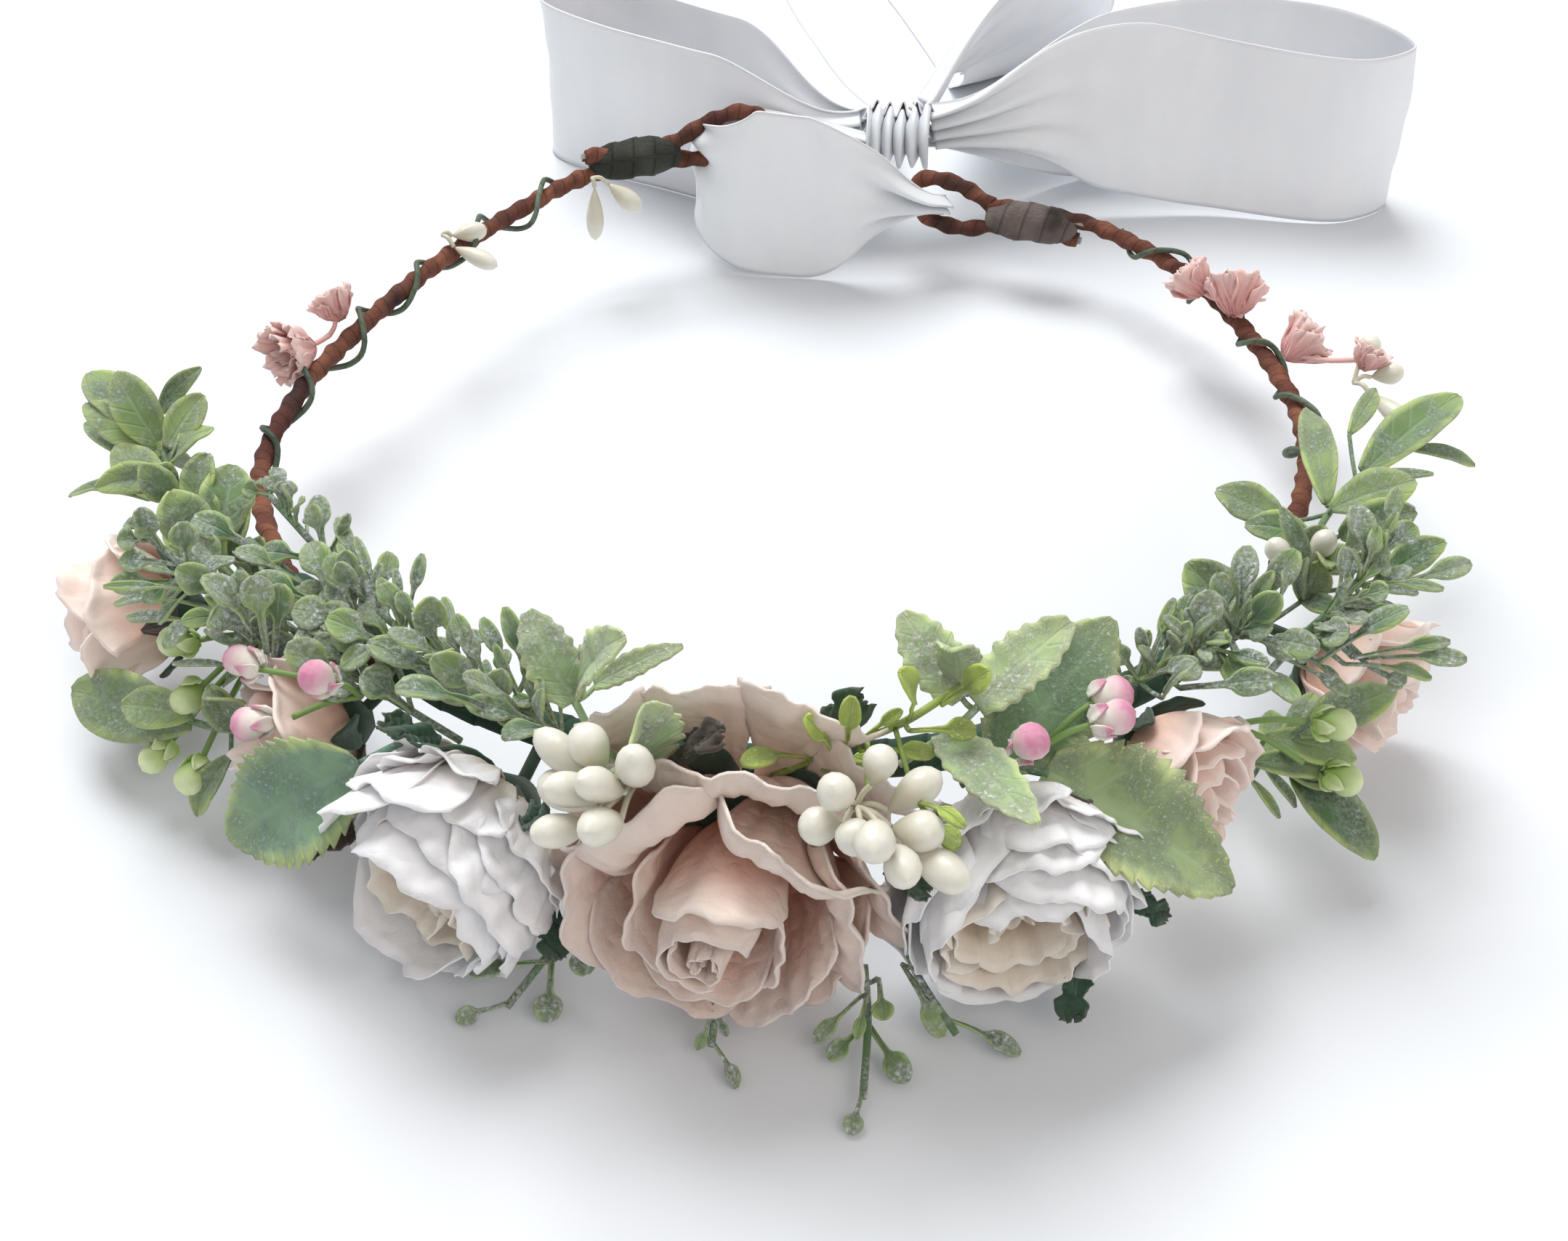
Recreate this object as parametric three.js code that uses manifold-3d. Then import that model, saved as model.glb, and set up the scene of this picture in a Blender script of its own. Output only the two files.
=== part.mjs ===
// A flower crown: a ring of paper-wrapped wire with an eye at each end, a garland
// of paper flowers, berries, buds and leaf sprigs on its front, and a wide satin
// ribbon threaded through the eyes and tied in a bow.
// Millimetres, +Z up. The crown lies on the plane z = 0 with the middle of the head
// opening at the origin, the large rose towards -Y and the bow towards +Y.
import * as THREE from 'three';
import { mergeVertices } from 'three/addons/utils/BufferGeometryUtils.js';
import Module from 'manifold-3d';

const wasm = await Module();
wasm.setup();

// ---- driving dimensions --------------------------------------------------------
const RING_RADIUS = 90; // nominal ring, from the middle of the head opening to the wire
const CORE_RADIUS = 0.8; // steel wire inside the paper
const WRAP_RADIUS = 1.6; // outside of the paper wrapping
const TAPE_RADIUS = 4.2; // binding tape round the two strands at each eye
const TAPE_HALF_LENGTH = 9.5;
const SLEEVE_RADIUS = 3; // floral tape that binds the flower stems to the ring
const VINE_RADIUS = 0.6; // thin green wire wound round the ring
const VINE_PITCH = 17; // one turn of the green wire along the ring
const FIT_GAP = 0.3; // clearance between pieces that touch
const STEM_RADIUS = 0.7;
const LEAF_THICKNESS = 0.8;
const BROAD_LEAF = 12; // leaves at least this wide get a smoother outline
const ROSE_RADIUS = 23;
const ROSE_DEPTH = 30;
const PEONY_RADIUS = 17.5;
const PEONY_DEPTH = 24;
const SPRAY_RADIUS = 12.5; // the four small roses
const SPRAY_DEPTH = 19;
const BERRY_RADIUS = 2.6;
const BUD_RADIUS = 2.7;
const BLOSSOM_RADIUS = 5.5;
const RIBBON_WIDTH = 38;
const RIBBON_THICKNESS = 0.6;
const RIBBON_GATHERED = 9; // width of the ribbon where it is pulled together
const KNOT_RADIUS = 7;

// ---- places --------------------------------------------------------------------
// A place on the garland is [degrees from +X, distance outside the ring, height].
function at([degrees, out, height]) {
  const turn = THREE.MathUtils.degToRad(degrees);
  const radius = RING_RADIUS + out;
  return new THREE.Vector3(radius * Math.cos(turn), radius * Math.sin(turn), height);
}

// A place by the bow is [x, distance behind the ring, height].
function behind([x, back, height]) {
  return new THREE.Vector3(x, RING_RADIUS + back, height);
}

const curveThrough = (points) => new THREE.CatmullRomCurve3(points, false, 'centripetal');

// ---- solids --------------------------------------------------------------------
// Turns a closed geometry into a solid, whichever way its faces were wound.
function solidOf(geometry) {
  let plain = geometry.clone();
  plain.deleteAttribute('normal');
  plain.deleteAttribute('uv');
  plain = mergeVertices(plain, 1e-4);
  const vertProperties = new Float32Array(plain.attributes.position.array);
  const corners = Array.from(plain.index.array);
  const triVerts = [];
  for (let i = 0; i < corners.length; i += 3) {
    const [a, b, c] = corners.slice(i, i + 3);
    if (a !== b && b !== c && c !== a) triVerts.push(a, b, c);
  }
  const meshOf = (tris) =>
    new wasm.Mesh({ numProp: 3, vertProperties, triVerts: new Uint32Array(tris) });
  const solid = new wasm.Manifold(meshOf(triVerts));
  if (solid.volume() >= 0) return solid;
  for (let i = 0; i < triVerts.length; i += 3) {
    [triVerts[i + 1], triVerts[i + 2]] = [triVerts[i + 2], triVerts[i + 1]];
  }
  return new wasm.Manifold(meshOf(triVerts));
}

function joined(solids) {
  return solids.reduce((whole, solid) => whole.add(solid));
}

// A round rod along a smooth curve through the points, longer by grow at both ends.
function rod(points, radius, sides, steps, grow = 0) {
  const path = points.map((point) => point.clone());
  const last = path.length - 1;
  const nudge = (end, next) => end.clone().sub(next).setLength(Math.max(grow, 1e-3));
  path[0].add(nudge(points[0], points[1]));
  path[last].add(nudge(points[last], points[last - 1]));
  const section = new THREE.Shape();
  for (let i = 0; i < sides; i++) {
    const turn = (2 * Math.PI * i) / sides;
    section[i ? 'lineTo' : 'moveTo'](radius * Math.cos(turn), radius * Math.sin(turn));
  }
  section.closePath();
  const options = { steps, extrudePath: curveThrough(path) };
  return solidOf(new THREE.ExtrudeGeometry(section, options));
}

// Moves every line of a profile outwards by grow. Each point goes along the mean
// of the two lines' outward directions; the ends stay on the axis.
function offsetProfile(profile, grow) {
  const points = profile.map(([radius, distance]) => new THREE.Vector2(radius, distance));
  const outward = (from, to) => new THREE.Vector2(to.y - from.y, from.x - to.x).normalize();
  return points.map((point, i) => {
    if (point.x === 0) return new THREE.Vector2(0, point.y + (i ? 1 : -1) * grow);
    const before = outward(points[i - 1], point);
    const after = outward(point, points[i + 1]);
    const mean = before.clone().add(after);
    return point.clone().addScaledVector(mean, grow / Math.max(1 + before.dot(after), 0.5));
  });
}

// A turned solid. The profile is [radius, distance along the axis] from the axis
// back to the axis, lowest point first; grow makes it bigger all round. Its flat
// sides stand inside the round, so grow is made up for that.
function turned(profile, sides, origin, axis, grow = 0) {
  const points = offsetProfile(profile, grow / Math.cos(Math.PI / sides));
  const geometry = new THREE.LatheGeometry(points, sides);
  const turn = new THREE.Quaternion().setFromUnitVectors(
    new THREE.Vector3(0, 1, 0),
    axis.clone().normalize(),
  );
  geometry.applyQuaternion(turn);
  geometry.translate(origin.x, origin.y, origin.z);
  return solidOf(geometry);
}

// A thin strip: a box laid along a curve. widthAt gives its width and acrossAt the
// direction of its width, both from the share of the length passed, 0 to 1.
function strip(points, steps, thickness, widthAt, acrossAt) {
  const curve = curveThrough(points);
  const geometry = new THREE.BoxGeometry(1, 1, 1, steps, 1, 1);
  const place = geometry.attributes.position;
  for (let i = 0; i < place.count; i++) {
    const share = place.getX(i) + 0.5;
    const tangent = curve.getTangentAt(share);
    const across = acrossAt(share, tangent);
    across.addScaledVector(tangent, -across.dot(tangent)).normalize();
    const face = new THREE.Vector3().crossVectors(across, tangent);
    const spot = curve.getPointAt(share);
    spot.addScaledVector(across, place.getZ(i) * widthAt(share));
    spot.addScaledVector(face, place.getY(i) * thickness);
    place.setXYZ(i, spot.x, spot.y, spot.z);
  }
  return solidOf(geometry);
}

// A leaf blade from its base to its tip, widest a little past the middle.
const LEAF_FACE = new THREE.Vector3(0, -0.35, 1);
function blade(base, tip, width, grow) {
  const lengthwise = tip.clone().sub(base);
  const steps = width < BROAD_LEAF ? 2 : 4;
  const from = base.clone().addScaledVector(lengthwise.clone().normalize(), -grow);
  const to = tip.clone().addScaledVector(lengthwise.clone().normalize(), grow);
  const across = new THREE.Vector3().crossVectors(lengthwise, LEAF_FACE).normalize();
  const thickness = LEAF_THICKNESS + 2 * grow;
  const widthAt = (share) => {
    const end = 2 * STEM_RADIUS;
    return end + (width - end) * Math.sin(Math.PI * share ** 1.15) ** 0.8 + 2 * grow;
  };
  return strip([from, from.clone().lerp(to, 0.5), to], steps, thickness, widthAt, () =>
    across.clone(),
  );
}

// A sprig: one stem and its leaves, each leaf growing from the nearest bit of stem.
function sprig({ stem, leaves }, grow) {
  const spots = stem.map(at);
  const solids = [rod(spots, STEM_RADIUS + grow, 4, spots.length, grow)];
  const samples = curveThrough(spots).getSpacedPoints(12);
  for (const [base, tip, width] of leaves) {
    const foot = at(base);
    const nearest = (best, spot) =>
      spot.distanceTo(foot) < best.distanceTo(foot) ? spot : best;
    solids.push(blade(samples.reduce(nearest), at(tip), width, grow));
  }
  return joined(solids);
}

// A bunch: round-ended beads on stems that all start at one point.
function bunch({ hub, beads, radius, sides = 5 }, grow) {
  const start = at(hub);
  const solids = [];
  for (const [base, tip] of beads) {
    const [foot, end] = [at(base), at(tip)];
    const axis = end.clone().sub(foot);
    const inside = foot.clone().addScaledVector(axis, 0.4);
    const stalk = [start, start.clone().lerp(inside, 0.5), inside];
    solids.push(rod(stalk, STEM_RADIUS + grow, 4, 1, grow));
    solids.push(turned(beadProfile(radius, axis.length()), sides, foot, axis, grow));
  }
  return joined(solids);
}

function beadProfile(radius, length) {
  return [
    [0, 0],
    [0.95 * radius, 0.3 * length],
    [0.9 * radius, 0.8 * length],
    [0, length],
  ];
}

// ---- the wire ring and its eyes ------------------------------------------------
const LEFT_TAPE = [-30, -5, 24];
const RIGHT_TAPE = [51, -10, 16];
const RING_ROUTE = [
  ...[[128, -4, 24], [143, -7, 24], [158, -7, 24], [174, -2.5, 23]],
  ...[[190, 1, 23], [214, 0, 25], [240, -3, 27], [270, -5, 26], [300, -4, 25]],
  ...[[326, -2, 21], [350, 0.5, 18], [6, 4.5, 16], [22, 6, 16], [36, 8, 16], [50, 8, 16]],
].map(at);
const RING_POINTS = [
  ...[[-21, -2.6, 24.4], LEFT_TAPE, [-39, -8.4, 24]].map(behind),
  ...RING_ROUTE,
  ...[[59, -13, 16], RIGHT_TAPE, [42, -7.6, 16.4]].map(behind),
];
const LEFT_EYE = [
  ...[[-22, -3, 24.2], [-14, -0.8, 23.4], [-6, 2.2, 24.6], [-3, 3.4, 28]],
  ...[[-8, 2.6, 32], [-16, -0.6, 31], [-23, -3, 27.9], [-30, -5, 27.6], [-41, -9, 28]],
].map(behind);
const RIGHT_EYE = [
  ...[[43, -8, 16.3], [36, -4, 18.8], [29, -1.5, 18.6], [26.5, -2.4, 15.5]],
  ...[[30, -5.4, 12], [37, -8.6, 11.2], [44, -9.6, 12.4], [51, -10.6, 12.4], [61, -15, 12.2]],
].map(behind);

// The core pokes out of the paper by tail at the two cut ends.
function wire(radius, sides, tail) {
  const eye = (points) => {
    const trimmed = points.slice();
    const [end, before] = [points[points.length - 1], points[points.length - 2]];
    trimmed[points.length - 1] = end.clone().lerp(before, tail);
    return trimmed;
  };
  return joined([
    rod(RING_POINTS, radius, sides, 38),
    rod(eye(LEFT_EYE), radius, sides, 11),
    rod(eye(RIGHT_EYE), radius, sides, 11),
  ]);
}

const wireCore = (grow) => wire(CORE_RADIUS + grow, 4, 0);
const paperWrap = (grow) => wire(WRAP_RADIUS + grow, 5, 0.15);

function bindingTape(points, grow) {
  const [from, to] = points;
  const axis = to.clone().sub(from).normalize();
  const middle = from.clone().lerp(to, 0.5);
  const half = TAPE_HALF_LENGTH;
  const profile = [
    [0, -half],
    [0.55 * TAPE_RADIUS, -half],
    [0.95 * TAPE_RADIUS, -0.5 * half],
    [TAPE_RADIUS, 0.4 * half],
    [0.6 * TAPE_RADIUS, half],
    [0, half],
  ];
  return turned(profile, 8, middle, axis, grow);
}
// Each spindle is centred between the two strands that it binds.
const LEFT_TAPE_LINE = [[-39.5, -7.9, 25.8], [-21.5, -2.9, 26]].map(behind);
const RIGHT_TAPE_LINE = [[59.5, -13.5, 14.2], [42.5, -8.8, 14.2]].map(behind);

// Thin wire wound round the ring between two of the route's points, with every
// third turn standing off in a loose loop.
function vine(first, last, grow) {
  const curve = new THREE.CatmullRomCurve3(RING_POINTS, false, 'centripetal');
  const turns = Math.round(((last - first) * curve.getLength()) / VINE_PITCH);
  const perTurn = 6;
  const coil = (WRAP_RADIUS + VINE_RADIUS + 2 * FIT_GAP) / Math.cos(Math.PI / perTurn);
  const points = [];
  for (let i = 0; i <= turns * perTurn; i++) {
    const share = first + ((last - first) * i) / (turns * perTurn);
    const spot = curve.getPointAt(share);
    const outward = new THREE.Vector3(spot.x, spot.y, 0).normalize();
    const turn = (2 * Math.PI * i) / perTurn;
    const slack = 1 + 0.8 * Math.max(0, Math.sin(turn / 3)) ** 2;
    spot.addScaledVector(outward, coil * slack * Math.cos(turn));
    spot.z += coil * slack * Math.sin(turn);
    points.push(spot);
  }
  return rod(points, VINE_RADIUS + grow, 3, 1.5 * turns * perTurn, grow);
}

const SLEEVE_ROUTE = [
  ...[[210, 0.4, 24.6], [240, -3, 27], [270, -5, 26], [300, -4, 25], [328, -1.8, 20.8]],
];
const stemSleeve = (grow) => rod(SLEEVE_ROUTE.map(at), SLEEVE_RADIUS + grow, 6, 12, grow);

// ---- flowers -------------------------------------------------------------------
// A flower is given by the place of its base and the place that it faces. Its
// layers nest: each one is a full turned shape, later cut back by those inside it.
function flowerAxis({ base, face }) {
  return at(face).sub(at(base));
}

function layer(flower, profile, sides, grow) {
  const { radius, depth } = flower;
  const scaled = profile.map(([across, along]) => [across * radius, along * depth]);
  return turned(scaled, sides, at(flower.base), flowerAxis(flower), grow);
}

const BUD_SHAPE = [[0, 0.2], [0.2, 0.3], [0.3, 0.6], [0.26, 0.88], [0.14, 0.98], [0, 0.98]];
const INNER_SHAPE = [[0, 0.12], [0.3, 0.18], [0.54, 0.42], [0.6, 0.74], [0.5, 0.94], [0, 0.94]];
const OUTER_SHAPE = [[0, 0], [0.35, 0.03], [0.8, 0.26], [1, 0.55], [0.96, 0.74], [0.76, 0.86], [0, 0.86]];
const CALYX_SHAPE = [[0, -0.14], [0.16, -0.14], [0.3, -0.06], [0.6, 0.06], [0.5, 0.12], [0, 0.12]];

function calyx(flower, grow) {
  const cup = layer(flower, CALYX_SHAPE, 7, grow);
  const base = at(flower.base);
  const foot = at(flower.foot);
  const stalk = [foot, foot.clone().lerp(base, 0.5), base];
  return cup.add(rod(stalk, 1.4 * STEM_RADIUS + grow, 4, 1, grow));
}

const rose = { radius: ROSE_RADIUS, depth: ROSE_DEPTH };
const peony = { radius: PEONY_RADIUS, depth: PEONY_DEPTH };
const spray = { radius: SPRAY_RADIUS, depth: SPRAY_DEPTH };
const CENTRE_ROSE = {
  ...rose,
  base: [-93.5, 3, ROSE_RADIUS],
  face: [-95.5, 33, ROSE_RADIUS + 0.5],
  foot: [-93, -3, 26],
};
const LEFT_PEONY = { ...peony, base: [-114, 7, 22], face: [-118, 31, 18], foot: [-114, -2, 26] };
const RIGHT_PEONY = { ...peony, base: [-71.5, 8, 24], face: [-74, 32, 19], foot: [-70, -3, 25] };
const SPRAY_ROSES = {
  left_inner: { ...spray, base: [-133, 6, 20], face: [-138, 24, 20], foot: [-132, -2, 25.4] },
  left_outer: { ...spray, base: [-156, 16, 18], face: [-160, 35, 18], foot: [-152, 1, 24] },
  right_inner: { ...spray, base: [-57, 5, 26], face: [-56, 23, 24], foot: [-57, -3, 24] },
  right_outer: { ...spray, base: [-31, 9, 18], face: [-33, 28, 16], foot: [-33, -1, 21] },
};

// ---- berries, buds and blossoms ------------------------------------------------
// Both bunches of berries lie on the large rose: their heights are from its top.
const overRose = ([degrees, out, above]) => [degrees, out, 2 * ROSE_RADIUS + above];
const LEFT_BERRIES = {
  radius: BERRY_RADIUS,
  hub: overRose([-101, 16, -4]),
  beads: [
    [[-103, 18, -3], [-109, 14, 1]],
    [[-103, 20, -5], [-108, 18, -4]],
    [[-102, 20, -2], [-106, 25, 3]],
    [[-101, 21, 0], [-103, 27, 8]],
    [[-100, 19, 0], [-100, 23, 10]],
    [[-103, 23, -5], [-106, 30, -1]],
    [[-101, 23, -3], [-102, 32, 4]],
  ].map((bead) => bead.map(overRose)),
};
const RIGHT_BERRIES = {
  radius: BERRY_RADIUS,
  hub: overRose([-85, 20, -2]),
  beads: [
    [[-83, 22, -1], [-79, 19, 2]],
    [[-86, 22, 1], [-87, 25, 8]],
    [[-86, 23, -2], [-89, 25, 0]],
    [[-84, 27, 2], [-85, 36, 7]],
    [[-83, 25, -1], [-80, 29, 1]],
    [[-83, 28, -1], [-83, 37, 2]],
    [[-82, 27, -3], [-79, 35, -3]],
  ].map((bead) => bead.map(overRose)),
};
const PIPS = {
  left_pips: {
    hub: [141, -5, 27.5],
    beads: [[[140, -6, 27], [135, -8, 26]], [[141, -8, 26], [139, -17, 24]]],
  },
  left_back_pips: {
    hub: [117, -5, 26.6],
    beads: [[[117, -6, 25], [118, -8, 14]], [[115, -6, 25], [111, -9, 19]]],
  },
  right_pips: {
    hub: [-30, 4, 30],
    beads: [[[-31, 3, 32], [-33, 0, 38]], [[-29, 5, 31], [-27, 7, 36]]],
  },
  right_back_pips: {
    hub: [6, 13, 24],
    beads: [[[4, 15, 24], [-1, 20, 24]], [[6, 16, 25], [6, 22, 26]], [[8, 15, 26], [9, 18, 30]]],
  },
};
const BUDS = {
  left_green_buds: {
    hub: [-147, 8, 22],
    beads: [
      [[-147, 17, 25], [-149, 24, 26]],
      [[-146, 18, 20], [-145, 26, 18]],
      [[-146, 23, 13], [-145, 33, 9]],
      [[-143, 23, 12], [-141, 30, 9]],
    ],
  },
  left_rose_buds: {
    hub: [-129, 9, 32],
    beads: [
      [[-135, 15, 33], [-140, 19, 34]],
      [[-129, 12, 36], [-130, 17, 42]],
      [[-130, 13, 31], [-135, 25, 30]],
    ],
  },
  right_rose_buds: {
    hub: [-69, 10, 38],
    beads: [
      [[-72, 13, 42], [-71, 16, 48]],
      [[-67, 11, 41], [-62, 14, 44]],
      [[-65, 6, 40], [-60, 9, 42]],
    ],
  },
  right_green_buds: {
    hub: [-49, 12, 26],
    beads: [[[-47, 16, 28], [-43, 26, 28]], [[-48, 17, 24], [-43, 29, 17]]],
  },
};

// A blossom: a ruffled head on a short stalk.
const BLOSSOMS = {
  left_blossom: { foot: [164, -3, 25], base: [166, -5, 25], face: [173, 2, 28] },
  right_blossom: { foot: [24, 6, 18.6], base: [25, 5, 19], face: [28, 9, 24] },
  right_back_blossom: { foot: [15, 7, 18.6], base: [15, 7, 20], face: [15, 14, 25] },
};
const BLOSSOM_SHAPE = [[0, -0.3], [0.3, -0.2], [0.6, 0.2], [1, 0.75], [0.7, 1], [0, 1]];

function blossom(spec, grow) {
  const flower = { ...spec, radius: BLOSSOM_RADIUS, depth: 1.4 * BLOSSOM_RADIUS };
  return layer(flower, BLOSSOM_SHAPE, 7, grow);
}

// ---- leaves --------------------------------------------------------------------
const SPRIGS = {
  left_boxwood_sprig: {
    stem: [[-154, 6, 24], [-161, 12, 32], [-169, 16, 36]],
    leaves: [
      [[-169, 16, 35], [-177, 28, 38], 9.2],
      [[-173, 16, 35], [-173, 8, 44], 3.6],
      [[-167, 14, 36], [-170, 7, 42], 6.0],
      [[-168, 18, 32], [-177, 31, 28], 3.8],
      [[-163, 18, 32], [-169, 32, 26], 4.6],
      [[-161, 16, 34], [-168, 22, 36], 7.2],
      [[-160, 14, 35], [-161, 18, 42], 5.2],
      [[-155, 14, 32], [-158, 14, 40], 8.6],
      [[-156, 9, 30], [-163, 4, 36], 8.3],
      [[-152, 10, 28], [-154, 9, 38], 4.6],
      [[-153, 11, 30], [-158, 17, 32], 4.7],
    ],
  },
  left_frosted_sprig: {
    stem: [[-139, 11, 26], [-143, 13, 34], [-147, 17, 40], [-151, 21, 44]],
    leaves: [
      [[-147, 17, 38], [-150, 28, 38], 3.1],
      [[-144, 14, 34], [-152, 28, 32], 1.8],
      [[-143, 14, 32], [-152, 27, 28], 1.8],
      [[-140, 14, 35], [-142, 18, 46], 4.7],
      [[-140, 14, 34], [-142, 17, 40], 6.5],
      [[-138, 14, 34], [-141, 11, 44], 4.3],
      [[-138, 13, 32], [-140, 8, 42], 3.7],
    ],
  },
  left_inner_sprig: {
    stem: [[-110, 3, 34], [-121, 0, 36], [-132, -1, 38], [-142, -2, 38], [-155, 0, 38]],
    leaves: [
      [[-142, -1, 38], [-148, -5, 44], 2.9],
      [[-142, -2, 38], [-149, 5, 36], 3.4],
      [[-136, -3, 37], [-145, -6, 42], 2.0],
      [[-132, -2, 36], [-141, -6, 42], 1.4],
      [[-126, -2, 36], [-125, -1, 48], 4.0],
      [[-121, 1, 37], [-127, 5, 44], 3.1],
      [[-115, 3, 38], [-119, 10, 50], 4.0],
      [[-115, 6, 38], [-121, 15, 46], 4.6],
      [[-115, 0, 36], [-121, -5, 44], 2.1],
      [[-114, -1, 36], [-118, -5, 48], 2.3],
      [[-113, -2, 35], [-118, -8, 42], 2.1],
      [[-114, 3, 36], [-115, 13, 52], 3.3],
    ],
  },
  left_outer_leaves: {
    stem: [[-138, 12, 18], [-141, 20, 17], [-145, 25, 16]],
    leaves: [
      [[-144, 24, 16], [-155, 37, 10], 10.8],
      [[-144, 24, 18], [-148, 32, 18], 6.8],
      [[-140, 22, 14], [-140, 30, 6], 4.8],
      [[-140, 20, 18], [-142, 21, 26], 5.5],
      [[-140, 18, 20], [-139, 24, 30], 5.4],
    ],
  },
  left_serrated_leaf: {
    stem: [[-122, 7, 31], [-125, 17, 29]],
    leaves: [
      [[-125, 17, 29], [-133, 31, 14], 17.1],
    ],
  },
  left_felt_leaves: {
    stem: [[-102, 6, 34], [-105, 7, 38], [-109, 1, 40]],
    leaves: [
      [[-109, 1, 40], [-115, -4, 50], 7.8],
      [[-104, 12, 40], [-103, 15, 58], 9.5],
      [[-108, -3, 40], [-100, -6, 48], 3.7],
      [[-109, 0, 42], [-102, 5, 56], 5.9],
    ],
  },
  centre_light_sprig: {
    stem: [[-91, 5, 34], [-85, 7, 42], [-80, 7, 46], [-75, 4, 48]],
    leaves: [
      [[-88, 7, 40], [-93, 13, 46], 2.9],
      [[-86, 9, 42], [-88, 11, 52], 2.9],
      [[-85, 9, 44], [-85, 12, 56], 2.5],
      [[-80, 7, 46], [-81, 12, 60], 3.8],
      [[-77, 6, 47], [-74, 10, 56], 3.3],
      [[-84, 8, 42], [-78, 10, 42], 2.2],
      [[-87, 7, 38], [-86, 17, 44], 1.9],
      [[-81, 22, 46], [-79, 30, 50], 1.7],
    ],
  },
  right_felt_leaves: {
    stem: [[-80, 4, 34], [-75, 4, 40], [-73, 3, 42]],
    leaves: [
      [[-74, 1, 42], [-78, -10, 50], 7.8],
      [[-73, 3, 42], [-64, 2, 52], 9.3],
      [[-77, 7, 42], [-74, 29, 46], 7.4],
      [[-74, 0, 42], [-77, 7, 60], 5.8],
    ],
  },
  right_rose_leaves: {
    stem: [[-75, 7, 31], [-72, 8, 34], [-69, 13, 36]],
    leaves: [
      [[-69, 12, 36], [-59, 33, 22], 18.0],
      [[-72, 8, 34], [-58, -1, 46], 15.7],
    ],
  },
  right_inner_sprig: {
    stem: [[-65, 1, 32], [-56, 2, 34], [-50, 4, 36], [-46, 7, 38]],
    leaves: [
      [[-46, 7, 38], [-42, 2, 48], 3.4],
      [[-44, 7, 38], [-41, 9, 50], 3.8],
      [[-46, 8, 38], [-46, 20, 44], 3.7],
      [[-51, 6, 36], [-48, 3, 46], 4.0],
      [[-55, 2, 34], [-49, -2, 42], 1.6],
      [[-56, 8, 36], [-56, 12, 46], 3.3],
      [[-54, 8, 36], [-51, 20, 44], 3.5],
      [[-46, 7, 34], [-49, 22, 38], 3.1],
      [[-50, 5, 36], [-53, 1, 44], 1.9],
      [[-44, 7, 38], [-45, 9, 50], 2.1],
      [[-43, 8, 38], [-44, 10, 50], 1.9],
    ],
  },
  right_upper_sprig: {
    stem: [[-45, 12, 32], [-42, 14, 38], [-40, 16, 42], [-34, 17, 44]],
    leaves: [
      [[-36, 17, 43], [-34, 12, 52], 3.9],
      [[-43, 18, 36], [-39, 26, 46], 3.4],
      [[-42, 22, 38], [-37, 32, 40], 1.9],
      [[-41, 23, 37], [-37, 35, 38], 2.5],
      [[-42, 21, 36], [-39, 32, 36], 1.9],
      [[-36, 18, 40], [-28, 29, 40], 2.9],
    ],
  },
  right_boxwood_sprig: {
    stem: [[-31, 6, 26], [-24, 4, 30], [-14, 8, 30]],
    leaves: [
      [[-13, 9, 30], [-1, 27, 30], 8.3],
      [[-7, 17, 28], [-5, 30, 22], 2.8],
      [[-21, 5, 32], [-16, 17, 34], 7.3],
      [[-19, 4, 30], [-4, 0, 32], 5.7],
      [[-7, 7, 30], [1, 14, 30], 3.3],
      [[-20, -2, 26], [-19, -14, 28], 6.8],
      [[-41, 4, 30], [-41, -8, 38], 8.7],
      [[-26, 8, 34], [-24, 18, 40], 7.0],
      [[-30, 17, 34], [-28, 24, 42], 5.8],
      [[-31, 6, 32], [-29, -1, 40], 3.4],
      [[-30, 10, 34], [-29, 10, 44], 6.7],
    ],
  },
  right_low_leaves: {
    stem: [[-50, 14, 22], [-45, 18, 16]],
    leaves: [
      [[-44, 19, 14], [-44, 35, 7], 8.6],
      [[-47, 17, 18], [-45, 22, 10], 1.6],
      [[-47, 16, 24], [-41, 26, 18], 5.5],
      [[-45, 19, 24], [-37, 26, 26], 6.8],
    ],
  },
  front_hanging_sprig: {
    stem: [[-84, 20, 10], [-84, 25, 4], [-85, 37, 2]],
    leaves: [
      [[-84, 25, 3], [-82, 35, 2], 3.7],
      [[-84, 22, 6], [-88, 28, 3], 2.3],
    ],
  },
  front_left_hanging_sprig: {
    stem: [[-106, 15, 14], [-108, 19, 7], [-110, 28, 2]],
    leaves: [
      [[-108, 21, 6], [-113, 27, 6], 2.9],
    ],
  },
  front_right_hanging_sprig: {
    stem: [[-81, 19, 14], [-80, 22, 8], [-78, 29, 3]],
    leaves: [
      [[-79, 26, 4], [-74, 33, 1], 2.7],
      [[-81, 19, 8], [-79, 29, 3], 3.3],
    ],
  },
};

// ---- ribbon --------------------------------------------------------------------
const KNOT = behind([24, 10, 22]);
const UPRIGHT = new THREE.Vector3(0, 0, 1);
const STANDING = RIBBON_WIDTH / 2 + 0.2; // middle of a ribbon that stands on the table
const STRAP_ROUTE = [
  ...[[17, 6, 23], [4, 7, 26], [-10, 7.5, 28], [-17.5, 3, 27.8], [-16.5, -4, 26.5]],
  ...[[-10, -8, 21], [4, -10.5, STANDING], [18, -10, STANDING], [29, -8.6, 17], [33.6, -6.4, 15.1]],
].map(behind);
const LEFT_LOOP_ROUTE = [
  ...[[16.5, 12, 22], [6, 12, 20.5], [-12, 16, STANDING], [-38, 28, STANDING], [-52, 41, STANDING]],
  ...[[-46, 49, STANDING], [-26, 43, STANDING], [-6, 30, STANDING], [8, 19, 20.5], [17, 14, 22]],
].map(behind);
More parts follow.
